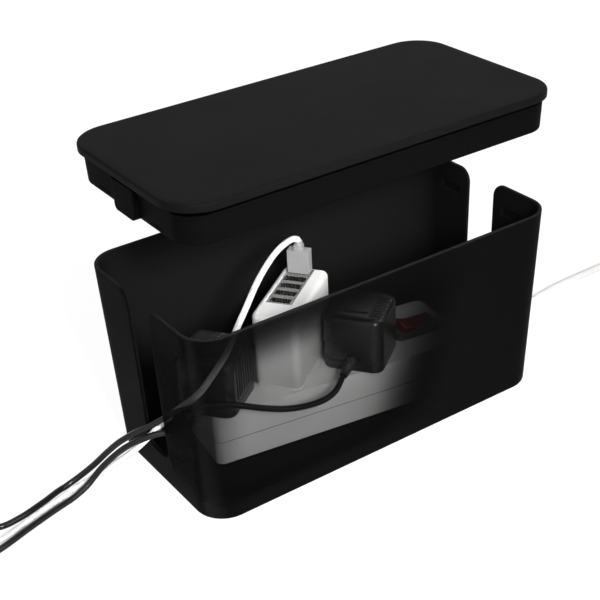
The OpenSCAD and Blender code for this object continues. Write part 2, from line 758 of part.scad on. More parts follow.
// Adapter's own frame: x away from its cord, z = 0 on the strip, middle of its body.
module on_adapter(s) {
    on_socket(s) translate([-adapter_set, adapter_y(s), 0]) children();
}
function adapter_y(s) = s > 0 ? right_adapter_y : 0;

module adapter_shell(s, relief_z) {
    cavity_l = adapter_d - 2 * adapter_wall;
    cavity_w = adapter_w - 2 * adapter_wall;
    tall = adapter_h - adapter_base;
    groove = 0.7;
    color(black) on_adapter(s) difference() {
        translate([0, 0, adapter_base]) round_block(adapter_d, adapter_w, adapter_r, tall);
        translate([0, 0, adapter_base - eps])
            round_block(cavity_l, cavity_w, adapter_r - adapter_wall, tall - adapter_wall);
        // Fins across the top: short ones at each side, two long grooves at the cord's end.
        for (i = [0:7], y = [-1, 1])
            translate([-6 + 2.6 * i, y * (adapter_w / 2 - 3.5), adapter_h])
                cube([1, 7 + eps, 2 * groove], center = true);
        for (i = [0:1]) translate([-13 + 3.2 * i, 0, adapter_h])
            cube([1, adapter_w - 10, 2 * groove], center = true);
        translate([-adapter_d / 2, 0, relief_z - strip_top]) rotate([0, 90, 0])
            cylinder(h = 3 * adapter_wall, d = dc_d + 1.4, center = true);
    }
}

module adapter_base_shell(s, relief_z) {
    color(black) on_adapter(s) difference() {
        union() {
            round_block(adapter_d, adapter_w, adapter_r, adapter_plate);
            difference() {
                round_block(adapter_d, adapter_w, adapter_r, adapter_base);
                translate([0, 0, adapter_plate])
                    round_block(adapter_d - 2 * adapter_wall, adapter_w - 2 * adapter_wall,
                        adapter_r - adapter_wall, adapter_base);
            }
            translate([4 - adapter_set, -6, adapter_plate - eps]) cube([15, 12, cradle_h + eps]);
        }
        translate([adapter_set, -adapter_y(s), 0]) pin_holes(adapter_plate);
        translate([-adapter_d / 2, 0, relief_z - strip_top]) rotate([0, 90, 0])
            cylinder(h = 3 * adapter_wall, d = dc_d + 1.4, center = true);
    }
}

module adapter_pins(s) {
    color(steel) on_socket(s) pins(adapter_plate);
}

module adapter_transformer(s) {
    color([0.35, 0.33, 0.3]) on_adapter(s)
        translate([2 - adapter_set, -core_size[1] / 2, adapter_plate + cradle_h]) cube(core_size);
}

// Ringed strain relief that grips the cord at the adapter's near face.
module adapter_relief(s, relief_z, relief_l) {
    step = 2.8;
    grooves = floor(relief_l / step) - 1;
    hole_r = dc_d / 2 + 0.7 - fit;
    color(black) on_adapter(s) translate([-adapter_d / 2, 0, relief_z - strip_top]) rotate([0, -90, 0]) {
        translate([0, 0, -adapter_wall - 1.5]) cylinder(h = 1.5 - seat, d = relief_d);
        translate([0, 0, -adapter_wall - 0.2]) cylinder(h = adapter_wall + 0.4, r = hole_r);
        difference() {
            translate([0, 0, seat]) cylinder(h = relief_l - seat, d1 = relief_d, d2 = dc_d + 1.2);
            for (i = [1:grooves]) translate([0, 0, step * i]) difference() {
                cylinder(h = 1.1, d = relief_d + 2);
                translate([0, 0, -eps]) cylinder(h = 1.2, d = dc_d + 0.8);
            }
        }
    }
}

module left_adapter_shell() { adapter_shell(sockets[0], left_relief_z); }
module left_adapter_base() { adapter_base_shell(sockets[0], left_relief_z); }
module left_adapter_pins() { adapter_pins(sockets[0]); }
module left_adapter_transformer() { adapter_transformer(sockets[0]); }
module left_adapter_relief() { adapter_relief(sockets[0], left_relief_z, left_relief_l); }
module right_adapter_shell() { adapter_shell(sockets[2], right_relief_z); }
module right_adapter_base() { adapter_base_shell(sockets[2], right_relief_z); }
module right_adapter_pins() { adapter_pins(sockets[2]); }
module right_adapter_transformer() { adapter_transformer(sockets[2]); }
module right_adapter_relief() { adapter_relief(sockets[2], right_relief_z, right_relief_l); }

// ---- the cords ----

function turned(v, a) = [v[0] * cos(a) - v[1] * sin(a), v[0] * sin(a) + v[1] * cos(a)];
// A point of an adapter's cord axis, d ahead of its near face.
function relief_point(s, d, z) = let (reach = adapter_set + adapter_d / 2 + d,
    own = turned([-reach, adapter_y(s)], socket_turn),
    w = turned([own[0] + s, own[1]], strip_turn)) [strip_x + w[0], strip_y + w[1], z];
function gland_point(d) = let (w = turned([strip_right + d, gland_y], strip_turn))
    [strip_x + w[0], strip_y + w[1], strip_z + gland_z];

module usb_cable() { color(white) tube(usb_route, usb_r); }
// A cord leaves its relief straight for a few millimetres, then follows its route.
function from_relief(s, l, z, route) =
    concat([relief_point(s, l + cord_gap, z), relief_point(s, l + 3, z)], route);
module left_adapter_cord() {
    color(black) tube(from_relief(sockets[0], left_relief_l, left_relief_z, left_route), dc_r);
}
module right_adapter_cord() {
    color(black) tube(from_relief(sockets[2], right_relief_l, right_relief_z, right_route), dc_r);
}
module mains_lead() {
    color(white) tube(concat([gland_point(gland_l), gland_point(gland_l + 3)], mains_route), mains_r);
}

module usb_cable_coil() { color(white) coil(usb_coil, small_coil_r, usb_d); }
module left_cord_coil() { color(black) coil(left_coil, small_coil_r, dc_d); }
module right_cord_coil() { color(black) coil(right_coil, small_coil_r, dc_d); }
module mains_lead_coil() { color(white) coil(mains_coil, mains_coil_r, mains_d); }

// Moulded grip of a round connector that points along turn from the coil's outer turn.
module dc_connector(middle, side, turn) {
    translate([middle[0] + side[0], middle[1] + side[1], dc_grip_r]) rotate([0, 0, turn]) rotate([0, 90, 0])
        children();
}
small_out = small_coil_r + dc_d;
right_side = [-3, small_out];
left_side = [-small_out, -3];

module dc_grip() {
    cylinder(h = 8, d1 = dc_d + 1, d2 = 2 * dc_grip_r - 2);
    translate([0, 0, 8 - eps]) cylinder(h = dc_grip_l - 8, r = dc_grip_r - 0.4);
}

module right_dc_connector() { color(black) dc_connector(right_coil, right_side, 180) dc_grip(); }
module left_dc_connector() { color(black) dc_connector(left_coil, left_side, -90) dc_grip(); }

module barrel() {
    translate([0, 0, dc_grip_l]) difference() {
        cylinder(h = barrel_l, r = barrel_r);
        translate([0, 0, 1]) cylinder(h = barrel_l, r = 1.1);
    }
}

module dc_connector_barrels() {
    color(steel) {
        dc_connector(right_coil, right_side, 180) barrel();
        dc_connector(left_coil, left_side, -90) barrel();
    }
}

// Flat connector at the far end of the USB cable, beside its coil.
module usb_cable_connector() {
    color(white) translate([usb_coil[0] - small_coil_r - usb_d, usb_coil[1] + 3, 0]) {
        translate([0, 0, micro_size[2] / 2]) rotate([-90, 0, 0])
            cylinder(h = 8, d1 = usb_d + 1, d2 = usb_d + 2.5);
        translate([-micro_size[0] / 2, 8 - eps, 0]) cube(micro_size);
    }
}

module usb_connector_tip() {
    color(steel) translate([usb_coil[0] - small_coil_r - usb_d - micro_tip[0] / 2,
        usb_coil[1] + 3 + 8 + micro_size[1] - eps, (micro_size[2] - micro_tip[2]) / 2]) cube(micro_tip);
}

// Moulded two-pin plug that lies beside the mains lead's coil, pins to the left.
module on_mains_plug() {
    translate([mains_coil[0] - 16, mains_coil[1] - mains_coil_r - mains_d, plug_body[2] / 2]) children();
}

module mains_plug() {
    color(white) on_mains_plug() {
        rotate([0, -90, 0]) cylinder(h = plug_tail + 2, d1 = mains_d + 1.6, d2 = plug_body[2] - 3);
        translate([-plug_tail, 0, 0]) rotate([0, -90, 0]) linear_extrude(plug_body[0])
            round_rect(plug_body[2], plug_body[1], 6);
    }
}

module mains_plug_pins() {
    color(steel) on_mains_plug() for (y = [-1, 1])
        translate([-plug_tail - plug_body[0], y * pin_gap / 2, 0]) rotate([0, -90, 0])
            cylinder(h = pin_l, d = pin_d);
}

tub();
foot_pads();
lid();
strip_base();
strip_feet();
strip_cover();
strip_screws();
socket_inserts();
live_bus_bar();
neutral_bus_bar();
earth_bus_bar();
switch_frame();
switch_block();
switch_rocker();
mains_gland();
charger_case();
charger_base();
charger_pins();
charger_board();
usb_panel();
usb_port_shells();
usb_port_tongues();
left_adapter_shell();
left_adapter_base();
left_adapter_pins();
left_adapter_transformer();
left_adapter_relief();
right_adapter_shell();
right_adapter_base();
right_adapter_pins();
right_adapter_transformer();
right_adapter_relief();
usb_plug_body();
usb_plug_shell();
usb_cable();
usb_cable_coil();
usb_cable_connector();
usb_connector_tip();
left_adapter_cord();
left_cord_coil();
left_dc_connector();
right_adapter_cord();
right_cord_coil();
right_dc_connector();
dc_connector_barrels();
mains_lead();
mains_lead_coil();
mains_plug();
mains_plug_pins();
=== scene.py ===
import math

import bmesh
import bpy
import numpy as np
from bpy.props import FloatProperty, FloatVectorProperty, IntProperty, PointerProperty
from mathutils import Matrix, Vector


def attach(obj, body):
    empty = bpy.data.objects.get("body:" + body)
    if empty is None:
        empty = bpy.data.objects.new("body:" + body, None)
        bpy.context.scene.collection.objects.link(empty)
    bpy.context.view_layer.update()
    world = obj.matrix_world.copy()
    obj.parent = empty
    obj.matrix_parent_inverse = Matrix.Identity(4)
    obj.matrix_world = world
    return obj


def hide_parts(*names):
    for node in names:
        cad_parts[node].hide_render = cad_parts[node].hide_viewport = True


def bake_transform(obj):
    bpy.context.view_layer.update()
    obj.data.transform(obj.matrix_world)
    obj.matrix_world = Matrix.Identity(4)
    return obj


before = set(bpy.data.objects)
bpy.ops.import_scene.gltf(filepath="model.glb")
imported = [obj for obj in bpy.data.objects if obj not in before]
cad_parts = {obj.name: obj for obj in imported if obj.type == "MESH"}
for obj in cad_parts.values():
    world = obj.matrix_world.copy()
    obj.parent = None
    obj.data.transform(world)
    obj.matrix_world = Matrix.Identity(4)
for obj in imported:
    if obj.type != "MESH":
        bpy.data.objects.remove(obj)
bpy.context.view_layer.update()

bl_info = {
    "name": "Cable Management Box",
    "version": (1, 0, 0),
    "blender": (4, 5, 0),
    "location": "3D View > Sidebar > Cable Box",
    "description": "Dresses the cable management box, its socket strip, plugs and cords",
    "category": "Add Mesh",
}

MM = 0.001

# Sizes and places in millimetres, as the model's source has them. Halves are along X and Y.
LEAN = (0.02962, 0.04617)       # how far an end and a side lean in for each mm down
WALL = 2.2
RIM_Z, RIM_HALF, RIM_CORNER = 115.4, (117.5, 59.5), 17.4
END_HALF = 42.1                 # half of an end's straight stretch at the rim
END_FREE = 25.0                 # as far from an end's middle, places keep upright
FLOOR_Z, FLOOR_HALF, FLOOR_CORNER = 0.6, (112.5, 52.6), 15.8
SLOT_Z, SLOT_HALF, SLOT_FOOT_R, SLOT_MOUTH_R = 19.4, 11.0, 6.0, 8.5
RECESS_Z, RECESS_Y, RECESS_HALF, RECESS_DEPTH = (97.2, 102.0), 27, 7.9, 0.75
LID_Z, LIP_TOP, LIP_HALF, LIP_CORNER = 182.2, 4.4, (118.8, 59.9), 21.5
SKIRT, SKIRT_HALF, SKIRT_CORNER, SKIRT_WALL = 18.0, (114.85, 56.85), 14.75, 1.8
RIB_Z, RIB_LENGTH, RIB_HEIGHT = -15.8, 14.0, 0.3
STRIP_TOP, STRIP_PLACE, STRIP_TURN = 36.0, (-20.8, 4.0), math.radians(-8.3)
STRIP_HALF, STRIP_CORNER, STRIP_MIDDLE = (81, 27), 5, (19.0, 0, -32)
SOCKET_PITCH = 44.5
CHARGER, CHARGER_OFF, CHARGER_CORNER = (59.5, 27.0, 47.0), (1.75, 0.8, 0.0), 4.5
PORTS, PORT_COUNT, PANEL = (-9.0, 8.5, 3.0), 5, (41.5, 14.9)
ADAPTER, ADAPTER_CORNER, ADAPTER_SPLIT = (37, 35, 33.5), 6, (5.7, 6.3)
ADAPTER_SET, ADAPTER_SIDE = 11.8, {-1: 0.0, 1: -2.4}
RELIEF = {-1: (10.5, 42.0), 1: (16.0, 43.0)}
LEAD_Z, GLAND_LENGTH = 25.0, 22


# ---- surfaces -------------------------------------------------------------

def grid(points, wrap=False):
    """Quads between neighbouring rows and columns of an array of points; wrap joins the last
    column to the first."""
    rows, cols = points.shape[:2]
    index = np.arange(rows * cols).reshape(rows, cols)
    if wrap:
        index = np.hstack([index, index[:, :1]])
    quads = np.stack([index[:-1, :-1], index[:-1, 1:], index[1:, 1:], index[1:, :-1]], -1)
    return points.reshape(-1, 3), quads.reshape(-1, 4)


def skin(rows):
    """Rows of points, each a closed outline, joined into a skin."""
    return grid(np.stack(rows), wrap=True)


def quarter(count):
    """Angles over a quarter circle."""
    return np.linspace(0, math.pi / 2, count)


def arc(z, inset, radius, start, end, count):
    """Heights and insets on a circle about (z, inset), between two angles in degrees: at 0 the
    circle is furthest out, at 90 highest."""
    turn = np.radians(np.linspace(start, end, count))
    return list(zip(z + radius * np.sin(turn), inset - radius * np.cos(turn)))


def linked(name, data):
    """An object of some data, in the scene."""
    made = bpy.data.objects.new(name, data)
    bpy.context.scene.collection.objects.link(made)
    return made


def cleaned(mesh, closed):
    """Doubles merged. A closed skin then has its poles closed and its faces turned outwards; on
    a copy of a solid the flat faces are joined."""
    work = bmesh.new()
    work.from_mesh(mesh)
    bmesh.ops.remove_doubles(work, verts=work.verts, dist=2e-6)
    if closed:
        bmesh.ops.dissolve_degenerate(work, edges=work.edges, dist=1e-7)
        bmesh.ops.recalc_face_normals(work, faces=work.faces)
    else:
        flat = math.radians(0.6)
        bmesh.ops.dissolve_limit(work, angle_limit=flat, verts=work.verts, edges=work.edges)
    work.to_mesh(mesh)
    work.free()
    return mesh


def dress(made, finish, crease, body, replaces):
    """Finish, smooth shading up to the crease angle, and the body that the piece rides on."""
    made.data.materials.clear()
    made.data.materials.append(finish.material)
    made.data.shade_smooth()
    made.data.set_sharp_from_angle(angle=math.radians(crease))
    if body:
        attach(made, body)
    if replaces:
        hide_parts(*replaces)
    return made


def piece(name, shells, finish, crease, replaces=(), body="box"):
    """One object from shells of (points in mm, quads)."""
    mesh = bpy.data.meshes.new(name)
    counts = np.cumsum([0] + [len(points) for points, _ in shells])
    points = np.concatenate([points for points, _ in shells]) * MM
    quads = np.concatenate([quads + count for (_, quads), count in zip(shells, counts)])
    mesh.from_pydata(points.tolist(), [], quads.tolist())
    return dress(linked(name, cleaned(mesh, True)), finish, crease, body, replaces)


def eased(node, finish, width, segments, name=None, body="box"):
    """Copy of a solid with its sharp edges rounded to a width in mm."""
    mesh = cleaned(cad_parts[node].data.copy(), False)
    made = linked(name or node + "_moulding", mesh)
    bevel = made.modifiers.new("eased edges", "BEVEL")
    bevel.width = width * MM
    bevel.segments = segments
    bevel.limit_method = "ANGLE"
    bevel.angle_limit = math.radians(30)
    return dress(made, finish, 40, body, (node,))


def around(straight_x, straight_y, corner, ends=None):
    """Columns round a rounded rectangle, anticlockwise from the right end: the side's number,
    with 4 added on the corner after it, the nominal place along the side from -1 to 1, and the
    outward direction. ends gives the places along the ends where they aren't evenly spaced."""
    kinds, places, angles = [], [], []
    if ends is None:
        ends = np.linspace(-1, 1, straight_y + 1)[:-1]
    for side, along in enumerate([ends, np.linspace(-1, 1, straight_x + 1)[:-1]] * 2):
        arc = side * 90.0 + np.arange(corner) / corner * 90.0
        kinds += [np.full(len(along), side), np.full(corner, side + 4)]
        places += [along, np.ones(corner)]
        angles += [np.full(len(along), side * 90.0), arc]
    return np.concatenate(kinds), np.concatenate(places), np.radians(np.concatenate(angles))


def ring(columns, half, radius, z, inset=0.0, share=1.0, along=None):
    """Outline at height z: the skeleton rectangle of the corner centres plus the outward
    direction times the radius less the inset, all drawn in to a share of its size."""
    kinds, places, angles = columns
    places = places if along is None else along
    cx, cy = (np.asarray(size, float) - radius for size in half)
    side = kinds % 4
    on = [side == 0, side == 1, side == 2]
    x = np.select(on, [cx, -places * cx, -cx], places * cx) + (radius - inset) * np.cos(angles)
    y = np.select(on, [places * cy, cy, -places * cy], -cy) + (radius - inset) * np.sin(angles)
    return np.stack([x * share, y * share, np.broadcast_to(z, x.shape)], -1)


def fan(row, shares):
    """The last row of a skin drawn in to its middle, share by share."""
    return [row * np.array([share, share, 1.0]) for share in shares]


def spokes(side, up, sides):
    """Directions round a circle that side and up span."""
    turn = (np.arange(sides) * 2 * math.pi / sides)[:, None]
    return np.cos(turn) * side[..., None, :] + np.sin(turn) * up[..., None, :]


def lathe(profile, start, direction, sides=32):
    """A profile of (distance along the axis, radius) carried once round the axis that leaves
    start along direction."""
    profile = np.asarray(profile, float)
    axis = np.asarray(direction, float) / np.linalg.norm(direction)
    helper = np.array([0.0, 0, 1]) if abs(axis[2]) < 0.9 else np.array([1.0, 0, 0])
    side = np.cross(helper, axis)
    side /= np.linalg.norm(side)
    spoke = spokes(side, np.cross(axis, side), sides)
    points = profile[:, 0, None, None] * axis + profile[:, 1, None, None] * spoke
    return grid(np.asarray(start, float) + points, wrap=True)


def soft_block(size, r_side, r_edge, place, rows, bottom_r, cols):
    """Upright block of a length, width and height: a rounded outline of radius r_side carried
    from floor to roof, drawn in by a quarter circle of radius r_edge at the top and bottom_r at
    the bottom. place maps local points to the world."""
    length, width, height = size
    columns = around(*cols)
    top = height - r_edge
    wall = [*arc(bottom_r, bottom_r, bottom_r, -90, 0, 6),
            *((z, 0.0) for z in np.linspace(bottom_r, top, rows + 1)[1:]),
            *arc(top, r_edge, r_edge, 0, 90, 6)[1:]]
    level = [(*wall[0], 0.0), (*wall[0], 0.6), *((*step, 1.0) for step in wall),
             (*wall[-1], 0.6), (*wall[-1], 0.0)]
    return skin([place(ring(columns, (length / 2, width / 2), r_side, *step)) for step in level])


def turned(points, angle, shift=(0.0, 0.0, 0.0)):
    """Points turned about the upright axis, then shifted."""
    c, s = math.cos(angle), math.sin(angle)
    x, y, z = points[..., 0], points[..., 1], points[..., 2]
    return np.stack([x * c - y * s + shift[0], x * s + y * c + shift[1], z + shift[2]], -1)


def on_strip(points):
    """From the strip's own frame, x along it from its middle socket and z = 0 on its cover, to
    the world."""
    return turned(points, STRIP_TURN, (*STRIP_PLACE, STRIP_TOP))


def on_socket(points, socket):
    """From a socket's own frame, turned an eighth more than the strip, to the world."""
    return on_strip(turned(points, math.pi / 4, (socket * SOCKET_PITCH, 0, 0)))


def on_charger(points):
    """From the frame of the charger's middle, z = 0 on the strip, to the world."""
    return on_socket(points + np.array(CHARGER_OFF), 0)


def on_adapter(points, socket):
    """From an adapter's own frame, the middle of its body, to the world."""
    return on_socket(points + np.array([-ADAPTER_SET, ADAPTER_SIDE[socket], 0]), socket)


# ---- cord paths -----------------------------------------------------------

USB_ROUTE = [
    (-2.5, 21.3, 100.8), (-2.8, 21.1, 103.2), (-6.5, 19.3, 106.2), (-12.5, 16.4, 107.7),
    (-18.9, 13.2, 108.1), (-25.9, 9.7, 107.4), (-33, 6.2, 105.2), (-40.2, 2.6, 102),
    (-47.6, -2, 98.8), (-57.7, -9.1, 93.9), (-69.8, -17.4, 88.2), (-76.9, -23.1, 85.3),
    (-82.2, -25, 80.5), (-86.8, -24, 74.3), (-91.3, -22.3, 67.9), (-96, -20.8, 61.9),
    (-100.4, -18.2, 57.1), (-103.2, -12.5, 51.2), (-105.4, -6.8, 45.4), (-108.8, -3, 40),
    (-113, -1.6, 36.6), (-118, -1, 33), (-124.5, 1.4, 27.2), (-131, 6.8, 19.8),
    (-137.4, 13.4, 12.4), (-145, 19.4, 5.2), (-154, 21.6, 2), (-167, 18, 1.75),
    (-185, 12.8, 1.75), (-203, 7, 1.75), (-221, 2.4, 1.75), (-238, 0.6, 1.75)]
RIGHT_ROUTE = [
    (-17.9, -36, 42.2), (-21.8, -37.9, 40.4), (-26.6, -38.4, 38.4), (-32.4, -37.4, 36.9),
    (-39.5, -35.4, 36.2), (-51, -32, 37.2), (-63, -28.6, 41), (-75, -26.1, 46.3),
    (-84.4, -23.9, 50), (-91.5, -22.4, 51.9), (-98, -21.6, 53.4), (-104, -18.8, 52.8),
    (-107.7, -12.8, 49.1), (-110, -8, 45.6), (-113, -5, 42.6), (-118, -3, 40), (-125, 0.5, 37),
    (-133.5, 8, 29.5), (-139, 14.6, 21), (-145, 20.6, 12), (-152.5, 25, 5), (-161, 25.6, 1.9),
    (-177, 20.6, 1.75), (-193, 16.2, 1.75), (-202.5, 15.6, 1.75), (-208.4, 18, 1.75),
    (-211, 23, 1.75), (-210.5, 32, 1.75), (-204, 46, 1.75), (-196, 60, 1.75),
    (-193.6, 68, 1.75)]
LEFT_ROUTE = [
    (-103.2, -17.1, 41.3), (-106.8, -16.6, 39.8), (-109.6, -14.3, 38), (-110.6, -11, 36.2),
    (-112.8, -8, 35.6), (-117, -6, 35.4), (-124, -2.6, 33.4), (-131.5, 4.8, 27),
    (-138, 11.2, 18.8), (-145, 15.4, 10.6), (-152.5, 15.8, 4.2), (-161, 14, 2.1),
    (-173, 11, 1.75), (-191, 5.6, 1.75), (-210, -0.6, 1.75), (-230, -4.4, 1.75),
    (-243, -3.6, 1.75), (-254, -1.9, 1.75)]
MAINS_ROUTE = [
    (107, -2.5, 25), (118, -3, 24.9), (126, -2, 23.6), (134, -0.2, 20.8), (144, 2.8, 15),
    (154, 6.4, 8.8), (164, 9.8, 4.3), (175, 12.6, 2.5), (192, 15.4, 2.5), (214, 17, 2.5),
    (236, 17.2, 2.5), (260, 17.4, 2.5), (284, 17.5, 2.5)]
# Cells of a coil's bundle, up and across, a little over a diameter apart.
COIL_CELLS = 1.006 * np.array([(0, 1), (0, 0), (0, -1), (1, -1), (2, -1), (2, 0), (1, 0), (1, 1)])


def flowing(points, step):
    """Smooth path through points: cubic pieces whose slope at a point is that of its
    neighbours, weighted by their distance, then spaced evenly."""
    p = np.asarray(points, float)
    h = np.linalg.norm(np.diff(p, axis=0), axis=1)[:, None]
    slope = np.diff(p, axis=0) / h
    inner = (slope[1:] * h[:-1] + slope[:-1] * h[1:]) / (h[1:] + h[:-1])
    slope = np.vstack([slope[:1], inner, slope[-1:]])
    t = np.linspace(0, 1, 25)[None, :-1, None]
    a, b, ma, mb, w = p[:-1, None], p[1:, None], slope[:-1, None], slope[1:, None], h[:, None]
    dense = ((2 * t**3 - 3 * t**2 + 1) * a + (t**3 - 2 * t**2 + t) * w * ma
             + (3 * t**2 - 2 * t**3) * b + (t**3 - t**2) * w * mb)
    return evenly(np.vstack([dense.reshape(-1, 3), p[-1:]]), step)


def run_of(path):
    """Distance along a path at each of its points."""
    return np.concatenate([[0], np.cumsum(np.linalg.norm(np.diff(path, axis=0), axis=1))])


def evenly(path, step):
    """The same path with its points a step apart along it."""
    run = run_of(path)
    places = np.linspace(0, run[-1], max(2, int(round(run[-1] / step))))
    return np.stack([np.interp(places, run, path[:, k]) for k in range(3)], -1)


def wound(middle, radius, d, entry, leave, way, slip):
    """Coil: the angle grows steadily from entry to leave while the strand keeps its cell of the
    bundle, and moves to the next cell by a smooth step in the slip part of each turn."""
    entry, leave = math.radians(entry), math.radians(leave)
    last = len(COIL_CELLS) - 1
    total = 2 * math.pi * last + ((leave - entry) * way) % (2 * math.pi)
    phi = np.linspace(0, total, int(total / math.radians(7)))
    turn = np.minimum((phi / (2 * math.pi)).astype(int), last)
    f = np.clip((phi / (2 * math.pi) - turn - (1 - slip)) / slip, 0, 1)
    f = (f * f * (3 - 2 * f))[:, None]
    cell = COIL_CELLS[turn] * (1 - f) + COIL_CELLS[np.minimum(turn + 1, last)] * f
    r = radius + cell[:, 1] * d
    angle = entry + way * phi
    return np.stack([middle[0] + r * np.cos(angle), middle[1] + r * np.sin(angle),
                     d / 2 + cell[:, 0] * d], -1)


def hose(path, radius, sides):
    """A circle carried along the path, its side direction level and square to the path; both
    ends are closed."""
    along = np.gradient(path, axis=0)
    along /= np.linalg.norm(along, axis=1, keepdims=True)
    level = np.cross(along, [0, 0, 1.0])
    level /= np.linalg.norm(level, axis=1, keepdims=True)
    points = path[:, None] + radius * spokes(level, np.cross(level, along), sides)
    start, end = (np.repeat(row[:, None], sides, 1) for row in (path[:1], path[-1:]))
    return grid(np.concatenate([start, points, end]), wrap=True)


def relief_point(socket, ahead):
    """A point of an adapter's cord axis, ahead of its near face."""
    x, y, _ = on_adapter(np.array([-ADAPTER[0] / 2 - ahead, 0.0, 0.0]), socket)
    return (float(x), float(y), RELIEF[socket][1])


def gland_point(ahead):
    """A point of the mains lead's axis, ahead of the strip's end."""
    end = STRIP_HALF[0] + STRIP_MIDDLE[0]
    return tuple(on_strip(np.array([end + ahead, 12.0, LEAD_Z - STRIP_TOP])).tolist())


# ---- finishes -------------------------------------------------------------

class Nodes:
    """A node tree and short ways to add to it. Each way returns an output of the new node."""

    def __init__(self, tree):
        self.tree = tree

    def put(self, socket, value):
        """Link an input to an output, or set it to a number, a vector or a colour."""
        if isinstance(value, bpy.types.NodeSocket):
            self.tree.links.new(value, socket)
        else:
            socket.default_value = value

    def add(self, kind, inputs=None, out=0, **settings):
        """A node of a kind, with its inputs and settings."""
        node = self.tree.nodes.new("ShaderNode" + kind)
        for name, value in settings.items():
            setattr(node, name, value)
        for name, value in (inputs or {}).items():
            self.put(node.inputs[name], value)
        return node.outputs[out]

    def work(self, operation, *values):
        """One sum of one or two values."""
        return self.add("Math", dict(enumerate(values)), operation=operation)

    def product(self, first, *others):
        """Values multiplied together."""
        for other in others:
            first = self.work("MULTIPLY", first, other)
        return first

    def spread(self, value, low, high, start=0.3, end=0.7, kind="LINEAR"):
        """A value from start to end laid over low to high."""
        numbers = {"From Min": start, "From Max": end, "To Min": low, "To Max": high}
        return self.add("MapRange", {"Value": value, **numbers}, interpolation_type=kind)

    def mixed(self, factor, a, b):
        """Colour between a and b by a factor."""
        a, b = ((*colour, 1.0) if isinstance(colour, tuple) else colour for colour in (a, b))
        return self.add("Mix", {0: factor, 6: a, 7: b}, 2, data_type="RGBA")

    def background_rays(self):
        """One for the rays that show the background: camera, glossy and transmission."""
        rays = self.add("LightPath").node.outputs
        seen = self.work("MAXIMUM", rays["Is Camera Ray"], rays["Is Transmission Ray"])
        return self.work("MAXIMUM", seen, rays["Is Glossy Ray"])

    def surface(self, output, share, first, second):
        """Two shaders mixed by a share, as the tree's surface."""
        mix = self.add("MixShader", {0: share, 1: first, 2: second})
        self.put(self.tree.nodes[output].inputs["Surface"], mix)


class Finish(Nodes):
    """A new material: its nodes, its shader and the Object coordinates."""

    def __init__(self, name):
        old = bpy.data.materials.get(name)
        if old:
            bpy.data.materials.remove(old)
        self.material = bpy.data.materials.new(name)
        self.material.use_nodes = True
        super().__init__(self.material.node_tree)
        self.shader = self.tree.nodes["Principled BSDF"]
        self.coords = self.add("TexCoord", out="Object")

    def shade(self, inputs):
        """Inputs of the shader by their names."""
        for name, value in inputs.items():
            self.put(self.shader.inputs[name], value)

    def colour(self):
        """What the base colour is linked to."""
        return self.shader.inputs["Base Color"].links[0].from_socket

    def axes(self):
        """X, Y and Z of the Object coordinates."""
        return self.add("SeparateXYZ", {0: self.coords}).node.outputs

    def noise(self, size, detail=2.0, stretch=None):
        """Cloud of lumps of a size in mm."""
        coords = self.coords
        if stretch:
            coords = self.add("Mapping", {"Vector": coords, "Scale": stretch})
        return self.add("TexNoise", {"Vector": coords, "Scale": 1 / (size * MM), "Detail": detail})

    def tinted(self, cloud, colour, amount):
        """Base colour from a darker to a lighter version of a colour, along a cloud."""
        dark = tuple(max(0.0, c * (1 - amount)) for c in colour)
        light = tuple(min(1.0, c * (1 + amount)) for c in colour)
        self.shade({"Base Color": self.mixed(cloud, dark, light)})

    def raised(self, height, depth, strength=1.0):
        """Bump of a depth in mm from a height."""
        bump = {"Height": height, "Distance": depth * MM, "Strength": strength}
        self.shade({"Normal": self.add("Bump", bump)})


def moulded(name, colour, roughness, grain, depth, mottle=0.06, specular=0.5, coat=0.0):
    """Moulded plastic: fine spark grain in the bump, and a slow cloud in the colour and the
    roughness."""
    finish = Finish(name)
    cloud = finish.noise(34.0, 3.0)
    finish.tinted(finish.spread(cloud, 0, 1), colour, mottle)
    finish.shade({"Roughness": finish.spread(cloud, roughness - 0.04, roughness + 0.04),
                  "Specular IOR Level": specular, "Coat Weight": coat, "Coat Roughness": 0.12})
    finish.raised(finish.noise(grain), depth, 0.6)
    return finish


def drawn_metal(name, colour, roughness, stretch=(1, 1, 0.06)):
    """Drawn or rolled metal: fine lines along one axis in the roughness and the bump."""
    finish = Finish(name)
    lines = finish.noise(0.5, 3.0, stretch)
    finish.tinted(finish.noise(9.0), colour, 0.08)
    finish.shade({"Metallic": 1.0,
                  "Roughness": finish.spread(lines, roughness - 0.08, roughness + 0.1)})
    finish.raised(lines, 0.006, 0.7)
    return finish


def stacked_steel(name):
    """Transformer: thin steel sheets stacked along Z, dark between them, with a lacquer cloud."""
    finish = Finish(name)
    bands = {"Vector": finish.coords, "Scale": 1000 / 0.5 / 6.283, "Distortion": 0.4}
    wave = finish.add("TexWave", bands, "Fac", bands_direction="Z")
    sheet = finish.spread(wave, 0, 1, 0.15, 0.6)
    finish.shade({"Base Color": finish.mixed(sheet, (0.05, 0.045, 0.04), (0.32, 0.29, 0.25)),
                  "Metallic": 0.6, "Roughness": finish.spread(finish.noise(4.0), 0.35, 0.55)})
    finish.raised(sheet, 0.08)
    return finish


def circuit_board(name):
    """Printed board: green lacquer over paths that follow a brick pattern, with tinned spots."""
    finish = Finish(name)
    pattern = {"Vector": finish.coords, "Scale": 1000 / 8.0, "Mortar Size": 0.06}
    brick = finish.add("TexBrick", pattern, "Fac")
    spots = finish.add("TexVoronoi", {"Vector": finish.coords, "Scale": 1000 / 2.6}, "Distance")
    path = finish.mixed(brick, (0.012, 0.11, 0.035), (0.03, 0.22, 0.08))
    tin = finish.spread(spots, 1, 0, 0.12, 0.18)
    finish.shade({"Base Color": finish.mixed(tin, path, (0.62, 0.62, 0.6)), "Roughness": 0.35})
    finish.raised(brick, 0.03)
    return finish


